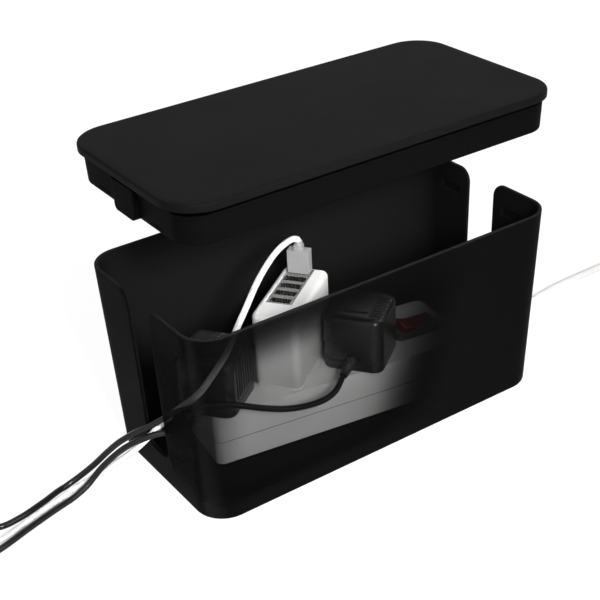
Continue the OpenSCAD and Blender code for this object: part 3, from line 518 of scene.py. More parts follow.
def sheathed(name, colour, roughness, specular=0.5):
    """Cord sheath: a faint twist of the strands under it, from the piece's own map, and a slow
    cloud."""
    finish = Finish(name)
    bands = {"Vector": finish.add("TexCoord", out="UV"), "Scale": 1.1, "Distortion": 0.6}
    twist = finish.add("TexWave", bands, "Fac", bands_direction="DIAGONAL")
    cloud = finish.noise(12.0, 3.0)
    finish.tinted(cloud, colour, 0.05)
    finish.shade({"Roughness": finish.spread(cloud, roughness - 0.05, roughness + 0.05),
                  "Specular IOR Level": specular})
    finish.raised(twist, 0.012, 0.5)
    return finish


def cleared_wall(name, colour, roughness, clear):
    """The tub's moulded black, thinning to clear over the strip: the clearness is one smooth
    step in from the front, two along the wall, one down from the rim and one up from the foot,
    all multiplied. The inside of the tub, short of the front wall, is painted lighter as painted
    light, and a thin painted highlight runs along the top of the rim. The two faces of a wall
    are parted by their distance from the middle, with what the wall has leant in at that height
    added back."""
    finish = moulded(name, colour, roughness, 0.55, 0.02, 0.08, 0.008)
    x, y, z = finish.axes()
    slanted = finish.work("ADD", finish.product(z, -0.2), x)
    steps = ((y, 1, 0, -0.016, -0.009), (x, 0.5, 1, -0.119, -0.088),
             (slanted, 1, 0, -0.018, 0.040), (z, 1, 0.2, 0.086, 0.1135), (z, 0, 1, 0.008, 0.022))
    amount = finish.product(*(finish.spread(*step, "SMOOTHSTEP") for step in steps), clear)
    down = finish.work("SUBTRACT", RIM_Z * MM, z)
    # Painted light: the inside of the tub, short of the front wall, is painted lighter than the
    # outside.
    inside = finish.spread(y, 0, 1, -0.053, -0.048)
    for along, lean, half in zip((x, y), LEAN, RIM_HALF):
        out = finish.work("ADD", finish.work("ABSOLUTE", along), finish.product(down, lean))
        inside = finish.product(
            inside, finish.spread(out, 1, 0, (half - SKIRT_WALL) * MM, (half - 0.6) * MM))
    with_painted_inner_light = finish.mixed(inside, finish.colour(), (0.0085, 0.0085, 0.0086))
    # Painted highlight: a thin lighter band along the top of the rim.
    rim = finish.spread(z, 0, 1, (RIM_Z - 0.8) * MM, (RIM_Z - 0.1) * MM)
    finish.shade({"Base Color": finish.mixed(rim, with_painted_inner_light, (0.014, 0.014, 0.014)),
                  "Alpha": finish.work("SUBTRACT", 1.0, amount)})
    return finish


def shaded_skirt(finish):
    """The lid's finish below its lip: painted darker and with less sheen than the finely grained
    top, as painted shade under the lip's overhang, and painted darkest in the groove under the lip,
    as painted shade in the crease."""
    z = finish.axes()[2]
    lip = LID_Z * MM
    # Painted shade: below the lip the skirt is painted darker and given less sheen than the top.
    skirt = finish.spread(z, 1, 0, lip + 0.0001, lip + 0.0006)
    # Painted shade: the groove under the lip is painted near black, with no sheen.
    groove = finish.product(skirt, finish.spread(z, 0, 1, lip - 0.0026, lip - 0.0022))
    low = finish.mixed(skirt, finish.colour(), (0.003, 0.003, 0.003))
    shine = finish.work("SUBTRACT", 0.015, finish.product(skirt, 0.009))
    shine = finish.work("SUBTRACT", shine, finish.product(groove, 0.006))
    finish.shade({"Base Color": finish.mixed(groove, low, (0.0004, 0.0004, 0.0004)),
                  "Specular IOR Level": shine})
    return finish


def repaint(finish, *nodes):
    """A better material on solids whose shape is already right."""
    for node in nodes:
        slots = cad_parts[node].data.materials
        slots.clear()
        slots.append(finish.material)


# ---- settings -------------------------------------------------------------

def size_of(name, text, default, low, high):
    """A length in metres with its limits."""
    return FloatProperty(name=name, description=text, default=default, min=low, max=high,
                         unit="LENGTH", precision=4)


def colour_of(piece_name, owner, default):
    """The colour of a piece."""
    return FloatVectorProperty(name=piece_name + " colour", description="Colour of " + owner,
                               default=default, subtype="COLOR", size=3, min=0, max=1)


def share_of(name, text, default):
    """A share from 0 to 1."""
    return FloatProperty(name=name, description=text, default=default, subtype="FACTOR",
                         min=0, max=1)


class BoxSettings(bpy.types.PropertyGroup):
    """Colours and roundings of the tub and the lid"""
    tub_colour: colour_of("Tub", "the tub's moulded plastic", (0.0025, 0.0025, 0.0026))
    lid_colour: colour_of("Lid", "the lid's moulded plastic", (0.0055, 0.0055, 0.0057))
    roughness: share_of("Roughness", "Dullness of the black plastic", 0.5)
    clear: share_of("Clear patch", "How clear the tub's front is over the strip", 0.65)
    rim_round: size_of("Rim rounding", "Rounding of the tub's rim and slots",
                       0.0008, 0.0003, 0.001)
    lid_round: size_of("Lid rounding", "Rounding of the lid's upper edge", 0.0012, 0.0006, 0.002)


class StripSettings(bpy.types.PropertyGroup):
    """Colours and roundings of the strip, the switch and the charger"""
    strip_colour: colour_of("Strip", "the strip's shells", (0.78, 0.78, 0.77))
    charger_colour: colour_of("Charger", "the charger's case", (0.82, 0.82, 0.81))
    rocker_colour: colour_of("Rocker", "the switch's rocker", (0.30, 0.030, 0.026))
    frame_colour: colour_of("Frame", "the switch's frame", (0.08, 0.08, 0.08))
    edge_round: size_of("Edge rounding", "Rounding of the strip's edges", 0.0011, 0.0003, 0.002)


class AdapterSettings(bpy.types.PropertyGroup):
    """Colour and form of the two adapters"""
    colour: colour_of("Adapter", "the adapters' shells", (0.02, 0.02, 0.0202))
    edge_round: size_of("Edge rounding", "Rounding of the right adapter's upper edge",
                        0.0042, 0.001, 0.0055)
    ribbed_round: size_of("Ribbed edge rounding", "Rounding of the left adapter's upper edge",
                          0.0055, 0.001, 0.0058)
    fin_depth: size_of("Fin depth", "Depth of the grooves between the fins",
                       0.001, 0.0002, 0.0014)
    lean: size_of("Lean", "How far the near face leans back at its top", 0.0008, 0.0, 0.004)


class CordSettings(bpy.types.PropertyGroup):
    """Colours and facets of the cords"""
    usb_colour: colour_of("USB cable", "the USB cable", (0.86, 0.86, 0.85))
    mains_colour: colour_of("Mains lead", "the mains lead", (0.8, 0.8, 0.79))
    dc_colour: colour_of("Adapter cord", "the adapters' cords", (0.008, 0.008, 0.008))
    sides: IntProperty(name="Sides", description="Facets round a cord", default=16, min=8, max=32)


class StageSettings(bpy.types.PropertyGroup):
    """Floor and lights"""
    floor_colour: colour_of("Floor", "the floor", (0.93, 0.93, 0.93))
    lamp: FloatProperty(name="Lamps", description="Strength of the soft lamps", default=1.0,
                        min=0, max=4)
    world: FloatProperty(name="Room light", description="Strength of the room's light",
                         default=0.4, min=0, max=2)


# ---- cords and camera -----------------------------------------------------

class CABLEBOX_OT_camera(bpy.types.Operator):
    """Camera above the table at the front left of the box"""
    bl_idname = "cable_box.camera"
    bl_label = "Camera"

    def execute(self, context):
        az, el, roll = (math.radians(v) for v in (-33.28, 29.75, -3.03))
        lens_per_width = 1275.22 / 600
        back = Vector((math.sin(az) * math.cos(el), -math.cos(az) * math.cos(el), math.sin(el)))
        level = Vector((0, 0, 1)).cross(back).normalized()
        rise = back.cross(level)
        right = math.cos(roll) * level + math.sin(roll) * rise
        up = -math.sin(roll) * level + math.cos(roll) * rise
        data = bpy.data.cameras.new("camera")
        data.sensor_width = 36.0
        data.lens = lens_per_width * data.sensor_width
        data.clip_start, data.clip_end = 0.05, 20
        camera = linked("camera", data)
        place = Matrix((right, up, back)).transposed().to_4x4()
        place.translation = Vector((-356.73, -516.67, 432.32)) * MM
        camera.matrix_world = place
        context.scene.camera = camera
        return {"FINISHED"}


def cord(name, path, d, finish, replaces, sides, body):
    """A cord's sheath along its whole path, with a map that has the run in diameters, and the
    way round folded in half. The mesh is a pole, the rings in order, and a pole."""
    made = piece(name, [hose(path, d / 2, sides)], finish, 60, replaces, body)
    mesh = made.data
    corner = np.zeros(len(mesh.loops), np.int32)
    mesh.loops.foreach_get("vertex_index", corner)
    fold = np.abs(np.arange(sides) - sides / 2) * 2 * math.pi / sides
    uv = np.stack([np.repeat(run_of(path) / d, sides), np.tile(fold, len(path))], -1)
    uv = np.concatenate([uv[:1], uv, uv[-1:]])
    if len(uv) != len(mesh.vertices):
        raise RuntimeError(name + " has rings that touch")
    layer = mesh.uv_layers.new(name="UVMap")
    layer.data.foreach_set("uv", uv[corner].astype(np.float32).ravel())
    return made


class CABLEBOX_OT_cords(bpy.types.Operator):
    """USB cable, adapter cords and mains lead, each whole, with its spare length in a coil"""
    bl_idname = "cable_box.cords"
    bl_label = "Cords"

    def execute(self, context):
        s = context.scene.cable_box_cords
        white = sheathed("usb_cable_sheath", s.usb_colour, 0.42)
        cream = sheathed("mains_lead_sheath", s.mains_colour, 0.45)
        black = sheathed("adapter_cord_sheath", s.dc_colour, 0.14, 0.22)
        usb = USB_ROUTE
        right = [relief_point(1, 16.3), relief_point(1, 19), *RIGHT_ROUTE]
        left = [relief_point(-1, 10.8), relief_point(-1, 13.5), *LEFT_ROUTE]
        mains = [gland_point(GLAND_LENGTH), gland_point(25), *MAINS_ROUTE]
        # Name, route, coil's middle, angles of entry and leaving and way round, its last points,
        # finish, slot, solids, and far end with its pieces.
        for name, route, coil, tail, finish, slot, nodes, far, extra in (
            ("usb_cable_sheath", usb, ((-241, 23), 270, 180, -1),
             [(-263.5, 24.5, 4.6), (-263.5, 28, 3.9)],
             white, "cable_white", ("usb_cable", "usb_cable_coil"), "connector",
             ["usb_cable_connector", "usb_connector_tip"]),
            ("right_adapter_cord_sheath", right, ((-216, 70), -3, 90, 1),
             [(-218.5, 92.5, 5.1), (-222, 92.5, 5.0)],
             black, "cord_black", ("right_adapter_cord", "right_cord_coil"), "connector",
             ["right_dc_connector"]),
            ("left_adapter_cord_sheath", left, ((-258, -24), 84, 180, 1),
             [(-280.5, -26.5, 5.1), (-280.5, -30, 5.0)],
             black, "cord_black", ("left_adapter_cord", "left_cord_coil"), "connector",
             ["left_dc_connector"]),
            ("mains_lead_sheath", mains, ((284, -15), 90, 250, -1),
             [(270, -47.5, 7.3), (264, -47.5, 7.0)],
             cream, "mains_white", ("mains_lead", "mains_lead_coil"), "plug",
             ["mains_plug", "mains_plug_pins"]),
        ):
            thick = slot == "mains_white"
            d, radius, step, slip = (5.0, 27.5, 2.2, 0.42) if thick else (3.5, 19, 1.6, 0.33)
            middle, entry, leave, way = coil
            turns = wound(middle, radius, d, entry, leave, way, slip)
            path = evenly(np.vstack([flowing(route, step), turns[1:], tail]), 1.8)
            path[:, 2] = np.maximum(path[:, 2], d / 2)
            moving = name.startswith(("left", "right"))
            made = cord(name, path, d, finish, nodes, s.sides, None if moving else "box")
            length = float(run_of(path)[-1]) * MM
            self.report({"INFO"}, f"{name} {length:.3f} m")
            if name.startswith("left"):
                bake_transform(made)
            elif name.startswith("right"):
                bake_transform(made)
        return {"FINISHED"}


class CABLEBOX_OT_connectors(bpy.types.Operator):
    """Connectors and plug at the cords' far ends, and every plated pin and shell"""
    bl_idname = "cable_box.connectors"
    bl_label = "Connectors"

    def execute(self, context):
        s = context.scene.cable_box_cords
        repaint(moulded("connector_white", s.usb_colour, 0.4, 0.5, 0.01), "usb_cable_connector")
        repaint(moulded("plug_white", s.mains_colour, 0.42, 0.6, 0.015), "mains_plug")
        repaint(moulded("connector_black", s.dc_colour, 0.35, 0.5, 0.01),
                "left_dc_connector", "right_dc_connector")
        repaint(drawn_metal("plated_steel", (0.62, 0.62, 0.63), 0.22),
                "usb_connector_tip", "dc_connector_barrels", "mains_plug_pins", "charger_pins",
                "left_adapter_pins", "right_adapter_pins", "strip_screws", "usb_plug_shell",
                "usb_port_shells")
        return {"FINISHED"}


# ---- the box --------------------------------------------------------------

def slot_edge():
    """Edge of the wall over one end, from -1 to 1 across it: place across, height, inward
    direction in the wall, and the place at the wall's foot that each column rises from. Rim,
    mouth arc, slot side, lower corner and slot floor follow each other, then mirrored."""
    def run(start, stop, count):
        """Evenly spaced values that leave out the last."""
        return np.linspace(start, stop, count, endpoint=False)

    counts = (24, 12, 16, 10, 5)
    mouth, foot = np.radians(run(90, 180, counts[1])), np.radians(run(0, -90, counts[3]))
    outer, inner = SLOT_HALF + SLOT_MOUTH_R, SLOT_HALF - SLOT_FOOT_R
    mouth_z, foot_z, down = RIM_Z - SLOT_MOUTH_R, SLOT_Z + SLOT_FOOT_R, -math.pi / 2
    # Place across, height and inward direction along each stretch.
    stretches = (
        (run(END_HALF, outer, counts[0]), RIM_Z, down),
        (outer + SLOT_MOUTH_R * np.cos(mouth), mouth_z + SLOT_MOUTH_R * np.sin(mouth),
         mouth + math.pi),
        (SLOT_HALF, run(mouth_z, foot_z, counts[2]), 0.0),
        (inner + SLOT_FOOT_R * np.cos(foot), foot_z + SLOT_FOOT_R * np.sin(foot), foot),
        (run(inner, 0, counts[4]), SLOT_Z, down))
    y, z, way = (np.concatenate(parts)
                 for parts in zip(*(np.broadcast_arrays(*stretch) for stretch in stretches)))
    stops = (END_HALF, 26, 23, 8, 4, 0)
    base = np.concatenate([run(*stretch) for stretch in zip(stops, stops[1:], counts)])
    return [np.concatenate([sign * part, [middle], part[::-1]]) for part, sign, middle in (
        (y, -1, 0.0), (z, 1, SLOT_Z), (np.cos(way), -1, 0.0), (np.sin(way), 1, -1.0),
        (base, -1, 0.0))]


def tub_wall(round_r):
    """The tub as one closed skin: floor fan, quarter-round foot, leaning wall up to an edge that
    dips through the end slots, a rounded rim, and the same way down inside. Walls lean in evenly
    with depth below the rim, and places beyond the free middle of an end close up with it."""
    y, z_edge, edge_y, edge_in, base = slot_edge()
    columns = around(64, 0, 16, ends=np.zeros(len(y) - 1))
    kinds, places, _ = columns
    total = len(kinds)
    edge_z, in_a, in_z = np.full(total, RIM_Z), np.zeros(total), -np.ones(total)
    top_a, foot_a = places.copy(), places.copy()
    for side in (0, 2):
        at = kinds == side
        for values, part in zip((edge_z, in_a, in_z, top_a, foot_a),
                                (z_edge, edge_y, edge_in, y, base)):
            values[at] = part[:-1]
    on_end = np.isin(kinds, (0, 2))

    def wall(a, z, inset):
        """Outline at height z with its ends at the places a, leant in and inset."""
        half_x, half_y = (half - lean * (RIM_Z - z) for half, lean in zip(RIM_HALF, LEAN))
        cy = half_y - RIM_CORNER
        close = (cy - END_FREE) / (END_HALF - END_FREE)
        beyond = np.sign(a) * (END_FREE + (np.abs(a) - END_FREE) * close)
        along = np.where(on_end, np.where(np.abs(a) > END_FREE, beyond, a) / cy, a)
        return ring(columns, (half_x, half_y), RIM_CORNER, z, inset, 1.0, along)

    def rise(v, inset_of, low):
        """Outline a share v of the way from the foot at low to each column's edge."""
        a = foot_a + (top_a + in_a * round_r - foot_a) * v
        z = low + (edge_z + in_z * round_r - low) * v
        return wall(a, z, inset_of(a, z))

    def recessed(a, z):
        """Inner face: a wall in, less the depth of the recesses for the snap ribs."""
        across = np.clip((RECESS_HALF - np.abs(np.abs(a) - RECESS_Y)) / 0.5, 0, 1)
        up = np.clip((np.minimum(z - RECESS_Z[0], RECESS_Z[1] - z) + 0.2) / 0.4, 0, 1)
        return WALL - RECESS_DEPTH * np.where(on_end, across * up, 0.0)

    def edge(k, inset):
        """Outline a share k of the rounding below the edge."""
        return wall(top_a + in_a * round_r * k, edge_z + in_z * round_r * k, inset)

    foot_r, inner_z, inner_r = WALL - FLOOR_Z, 5.0, 2.0
    steps = np.concatenate([np.linspace(0, 0.82, 16), np.linspace(0.83, 0.89, 20),
                            np.linspace(0.91, 1, 6)])
    turn = quarter(5)
    rows = [ring(columns, FLOOR_HALF, FLOOR_CORNER, FLOOR_Z, 0, share) for share in (0, 0.5, 0.9)]
    rows += [wall(foot_a, *step) for step in arc(WALL, foot_r, foot_r, -90, 0, 5)]
    rows += [rise(v, lambda a, z: 0.0 * z, WALL) for v in steps[1:]]
    rows += [edge(1 - math.sin(t), round_r * (1 - math.cos(t))) for t in turn[1:]]
    rows += [edge(1 - math.cos(t), WALL - round_r * (1 - math.sin(t))) for t in turn]
    rows += [rise(v, recessed, inner_z) for v in steps[::-1][1:]]
    inner = arc(inner_z, WALL + inner_r, inner_r, 0, -90, 5)[1:]
    rows += [wall(foot_a, *step) for step in inner]
    rows += fan(rows[-1], (0.9, 0.5, 0.0))
    return skin(rows)


class CABLEBOX_OT_tub(bpy.types.Operator):
    """Tub with a cable slot in each end, and its rubber pads"""
    bl_idname = "cable_box.tub"
    bl_label = "Tub"

    def execute(self, context):
        s = context.scene.cable_box
        finish = cleared_wall("tub_black", s.tub_colour, s.roughness, s.clear)
        piece("tub_moulding", [tub_wall(s.rim_round / MM)], finish, 40, ("tub",))
        repaint(moulded("pad_rubber", (0.014, 0.014, 0.014), 0.8, 0.4, 0.03), "foot_pads")
        return {"FINISHED"}


def lid_shell(round_r):
    """The lid as one closed skin: a fan over the top, its rounded edge, the overhanging lip, the
    leaning skirt with a rounded foot, and the hollow inside up to the top panel."""
    columns = around(60, 44, 18)
    lip_r, foot_r, hollow_r, hollow_z = 0.4, SKIRT_WALL / 2, 1.5, 0.5
    lip_z = 0.02                # so far the closed lip stays off the rim
    foot_z = foot_r - SKIRT

    def lip(z, inset=0.0, share=1.0):
        """Outline of the lip at height z."""
        return ring(columns, LIP_HALF, LIP_CORNER, z, inset, share)

    def skirt(z, inset=0.0):
        """Outline of the leaning skirt at height z."""
        half = [size + lean * z for size, lean in zip(SKIRT_HALF, LEAN)]
        return ring(columns, half, SKIRT_CORNER, z, inset)

    rows = [lip(LIP_TOP, round_r, share) for share in (0, 0.4, 0.8, 0.97)]
    rows += [lip(*step) for step in (*arc(LIP_TOP - round_r, round_r, round_r, 90, 0, 6),
                                     (2.4, 0), (1.4, 0),
                                     *arc(lip_z + lip_r, lip_r, lip_r, 0, -90, 6))]
    rows += [ring(columns, SKIRT_HALF, SKIRT_CORNER, z, 0.9) for z in (lip_z, -1.2)]
    rows += [skirt(z) for z in np.linspace(-1.4, foot_z, 6)]
    rows += [skirt(*step) for step in arc(foot_z, foot_r, foot_r, 0, -180, 11)[1:]]
    rows += [skirt(z, SKIRT_WALL) for z in np.linspace(-12, hollow_z, 4)]
    rows += [skirt(*step)
             for step in arc(hollow_z, SKIRT_WALL + hollow_r, hollow_r, 0, 90, 6)[1:]]
    rows += fan(rows[-1], (0.95, 0.5, 0.0))
    return skin([row + np.array([0, 0, LID_Z]) for row in rows])


def tongue(side):
    """Closing tongue: its outline across the end runs down one side from a small hook, round the
    foot and up the other; the outline is carried outward with its edge drawn in by a quarter
    circle."""
    hook, foot = np.radians(np.linspace(90, 180, 6)), np.radians(np.linspace(0, -90, 8))
    inner, outer, edge_r = 112.9, 117.2, 0.4
    half = np.concatenate([
        np.stack([12.4 + 2 * np.cos(hook), -2 + 2 * np.sin(hook)], -1),
        np.stack([7.4 + 3 * np.cos(foot), 1.8 - SKIRT + 3 * np.sin(foot)], -1)])
    half[:, 1] = np.minimum(half[:, 1], 0.0)
    outline = np.concatenate([half, half[::-1] * [-1, 1]])
    centre = outline.mean(0)
    away = outline - centre
    size = np.linalg.norm(away, axis=1, keepdims=True)
    levels = [(inner, 0.0, 0.0), (inner, 0.0, 1.0)]
    levels += [(*step, 1.0) for step in arc(outer - edge_r, edge_r, edge_r, 0, 90, 5)]
    levels += [(outer, edge_r, 0.94), (outer, edge_r, 0.0)]
    rows = []
    for x, inset, share in levels:
        y, z = (centre + away * (1 - inset / size) * share).T
        rows.append(np.stack([np.full(len(y), side * x), y, np.minimum(z, 0.0) + LID_Z], -1))
    return skin(rows)


def snap_rib(side, y):
    """Snap rib: a low rounded bar whose height over the skirt falls off to its ends."""
    along = np.linspace(-1, 1, 25)[:, None]
    turn = np.linspace(0, 2 * math.pi, 16, endpoint=False)[None]
    size = np.sqrt(np.clip(1 - np.abs(along) ** 8, 0, 1))
    sunk = 0.5
    z = RIB_Z + 1.8 * np.sin(turn) * size
    x = SKIRT_HALF[0] + LEAN[0] * RIB_Z - sunk + (sunk + RIB_HEIGHT) * np.cos(turn) * size
    y = y + RIB_LENGTH / 2 * along + 0 * turn
    return grid(np.stack([side * x, y, z + LID_Z], -1), wrap=True)


class CABLEBOX_OT_lid(bpy.types.Operator):
    """Lid with its skirt, closing tongues and snap ribs"""
    bl_idname = "cable_box.lid"
    bl_label = "Lid"

    def execute(self, context):
        s = context.scene.cable_box
        grained = moulded("lid_black", s.lid_colour, s.roughness, 0.55, 0.03, 0.08, 0.015)
        shells = [lid_shell(s.lid_round / MM)] + [tongue(side) for side in (-1, 1)]
        shells += [snap_rib(side, y) for side in (-1, 1) for y in (-RECESS_Y, RECESS_Y)]
        piece("lid_moulding", shells, shaded_skirt(grained), 40, ("lid",), "lid")
        return {"FINISHED"}


# ---- the strip ------------------------------------------------------------

class CABLEBOX_OT_strip(bpy.types.Operator):
    """Socket strip: shells, feet, socket inserts, bus bars, switch block and gland"""
    bl_idname = "cable_box.strip"
    bl_label = "Socket strip"

    def execute(self, context):
        s = context.scene.cable_box_strip
        white = moulded("strip_white", s.strip_colour, 0.38, 0.6, 0.012, 0.02)
        eased("strip_cover", white, s.edge_round / MM, 3)
        eased("strip_base", white, 0.5, 2)
        # Painted shade: the parting line is a thin grey band that stands in for the shadow in the
        # gap between cover and base.
        parting_shade = moulded("painted_parting_shade", (0.2, 0.2, 0.2), 0.6, 0.5, 0.01)
        columns = around(60, 30, 8)
        sunk, proud, foot, top = 0.2, -0.03, 14.2, 14.6
        line = [ring(columns, [half - inset for half in STRIP_HALF], STRIP_CORNER, z)
                for z, inset in ((foot, sunk), (foot, proud), (top, proud), (top, sunk),
                                 (foot, sunk))]
        line = [on_strip(row + np.array(STRIP_MIDDLE)) for row in line]
        piece("strip_parting_line", [skin(line)], parting_shade, 50)
        bright = tuple(c * 0.97 for c in s.strip_colour)
        eased("socket_inserts", moulded("socket_white", bright, 0.3, 0.5, 0.008, 0.02),
              0.35, 2, "socket_insert_mouldings")
        repaint(moulded("strip_feet_rubber", (0.09, 0.09, 0.09), 0.8, 0.4, 0.03), "strip_feet")
        repaint(drawn_metal("rolled_brass", (0.72, 0.5, 0.17), 0.3, (0.06, 1, 1)),
                "live_bus_bar", "neutral_bus_bar", "earth_bus_bar")
        repaint(moulded("switch_block_black", (0.03, 0.03, 0.03), 0.5, 0.5, 0.02), "switch_block")
        cream = moulded("gland_white", (0.74, 0.74, 0.72), 0.55, 0.4, 0.02, 0.03)
        start = gland_point(0)
        ahead = np.array(gland_point(GLAND_LENGTH)) - start
        bead, pitch = np.linspace(3.6, 20, 36), 3.3
        swell = (4.1 - (4.1 - 3.25) * (bead - 3) / 19
                 - 0.35 * (0.5 + 0.5 * np.cos(bead * 2 * math.pi / pitch)))
        profile = [(-5, 2.45), (-5, 4.8), (-2.1, 4.8), (-2.1, 3.15), (0.1, 3.15), (0.1, 4.2),
                   (0.5, 4.2), (3.2, 4.2), *zip(bead, swell), (21.6, 3.1), (GLAND_LENGTH, 2.9),
                   (GLAND_LENGTH, 2.45), (-5, 2.45)]
        piece("mains_gland_moulding", [lathe(profile, start, ahead)], cream, 50,
              ("mains_gland",))
        return {"FINISHED"}


class CABLEBOX_OT_switch(bpy.types.Operator):
    """Rocker switch: bevelled frame and red rocker"""
    bl_idname = "cable_box.switch"
    bl_label = "Switch"

    def execute(self, context):
        s = context.scene.cable_box_strip
        grey = moulded("switch_frame_grey", s.frame_colour, 0.35, 0.5, 0.01)
        eased("switch_frame", grey, 0.4, 2)
        red = moulded("rocker_red", s.rocker_colour, 0.25, 0.6, 0.006, 0.05, 0.5, 0.4)
        eased("switch_rocker", red, 0.5, 3, "rocker_moulding", "rocker")
        return {"FINISHED"}


def charger_case():
    """Case of the charger as one closed skin: up the outer wall, over the rounded edge and the
    roof to the panel's opening, down past its ledge, under the roof and down the inner wall."""
    columns = around(24, 18, 10)
    x, y, top = CHARGER[0] / 2, CHARGER[1] / 2, CHARGER[2]
    wall, roof, edge_r, foot = 1.8, 3.6, 3, 2.3
    aside = np.array([PORTS[0] + 2 * PORTS[1] - CHARGER_OFF[0], PORTS[2] - CHARGER_OFF[1], 0])

    def outline(z, inset):
        """Outer wall at height z."""
        return ring(columns, (x, y), CHARGER_CORNER, z, inset)

    def opening(grow, radius, z):
        """The panel's outline grown each way, at height z."""
        return ring(columns, [size / 2 + grow for size in PANEL], radius, z) + aside

    def inner(z):
        """Inner wall at height z."""
        return ring(columns, (x - wall, y - wall), CHARGER_CORNER - wall, z)

    rows = [outline(z, inset) for z, inset in ((foot, 0.25), (2.55, 0), (20, 0), (top - edge_r, 0))]
    rows += [outline(*step) for step in arc(top - edge_r, edge_r, edge_r, 0, 90, 7)[1:]]
    rows += [opening(*step) for step in (
        (0.3, 0.8, top), (0.1, 0.6, top - 0.25), (0.1, 0.6, top - 1.6), (-0.7, 0.4, top - 1.6),
        (-0.7, 0.4, top - 2.6))]
    rows += [inner(top - roof), inner(foot), rows[0]]
    return skin([on_charger(row) for row in rows])


class CABLEBOX_OT_charger(bpy.types.Operator):
    """Charger: case, port panel, ports with gilt contacts, board, and the USB plug in its last
    port"""
    bl_idname = "cable_box.charger"
    bl_label = "Charger"

    def execute(self, context):
        s = context.scene.cable_box_strip
        white = moulded("charger_white", s.charger_colour, 0.34, 0.6, 0.008, 0.015)
        piece("charger_case_moulding", [charger_case()], white, 50,
              ("charger_case",))
        foot = soft_block((*CHARGER[:2], 2.2), CHARGER_CORNER, 0.2, on_charger, 1, 1.5,
                          (24, 18, 10))
        piece("charger_base_moulding", [foot], white, 50, ("charger_base",))
        grey = moulded("port_panel_grey", (0.17, 0.165, 0.16), 0.4, 0.5, 0.01)
        eased("usb_panel", grey, 0.15, 1, "port_panel_moulding")
        repaint(circuit_board("board_green"), "charger_board")
        repaint(moulded("port_tongue_black", (0.02, 0.02, 0.02), 0.45, 0.4, 0.01),
                "usb_port_tongues")
        gilt = drawn_metal("gilt_contact", (0.86, 0.68, 0.32), 0.25)
        first, pitch, row_y = PORTS
        shells = [soft_block((0.16, 1.1, 7.6), 0.05, 0.04,
                             lambda p: on_socket(p + np.array(
                                 [first + pitch * port + 0.02, row_y + y, 35.6]), 0),
                             1, 0.04, (2, 2, 2))
                  for port in range(PORT_COUNT) for y in (-3.6, -1.25, 1.25, 3.6)]
        piece("port_contacts", shells, gilt, 40)
        body = moulded("usb_plug_grey", (0.30, 0.30, 0.305), 0.35, 0.4, 0.01)
        eased("usb_plug_body", body, 0.7, 3, "usb_plug_moulding")
        sleeve = lathe([(-0.4, 0), (-0.4, 2.2), (-0.2, 2.4), (1.9, 2.3), (2.4, 1.9), (2.4, 0)],
                       USB_ROUTE[0], np.subtract(USB_ROUTE[1], USB_ROUTE[0]))
        piece("usb_plug_sleeve", [sleeve], body, 50)
        return {"FINISHED"}


# ---- the adapters ---------------------------------------------------------

def capped_block(edge_r, fine):
    """Adapter shell over a rounded outline: a flat grid over the roof whose columns keep their
    place up to the corner arcs and close up beyond them, and rings below it that round the upper
    edge by a quarter circle and go down to the parting line. Returns the roof and the rings."""
    length, width, high = ADAPTER
    low = ADAPTER_SPLIT[1]
    hx, hy, r = length / 2 - edge_r, width / 2 - edge_r, ADAPTER_CORNER - edge_r
    straight = np.linspace(-(hx - r), hx - r, int(2 * (hx - r) / fine))
    arc = np.sin(quarter(7)) * r
    x = np.concatenate([-(hx - r) - arc[:0:-1], straight, (hx - r) + arc[1:]])
    bow = (1 - np.cos(quarter(9)))[:-1] * r
    middle = np.linspace(-hy + r, hy - r, int(2 * (hy - r) / fine))
    y = np.concatenate([-hy + bow, middle, hy - bow[::-1]])
    over = np.clip(np.abs(y) - (hy - r), 0, r)
    reach = (hx - r) + np.sqrt(np.clip(r * r - over * over, 0, None))
    out_x = np.abs(x)[None]
    past = np.clip((out_x - (hx - r)) / r, 0, 1)
    gx = np.sign(x)[None] * (np.minimum(out_x, hx - r) + past * (reach[:, None] - (hx - r)))
    roof = np.stack([gx, np.repeat(y[:, None], len(x), 1)], -1)
    loop = np.concatenate([roof[0, :-1], roof[:-1, -1], roof[-1, :0:-1], roof[:0:-1, 0]])
    out = loop - np.clip(loop, [-(hx - r), -(hy - r)], [hx - r, hy - r])
    out /= np.linalg.norm(out, axis=1, keepdims=True)
    edge_z = high - edge_r
    levels = [(edge_z + edge_r * math.cos(t), edge_r * math.sin(t)) for t in quarter(7)]
    levels += [(z, edge_r) for z in np.linspace(edge_z, low, int((edge_z - low) / fine / 1.3))[1:]]
    rings = np.stack([np.concatenate([loop + out * grow, np.full((len(loop), 1), z)], 1)
                      for z, grow in levels])
    return roof, rings


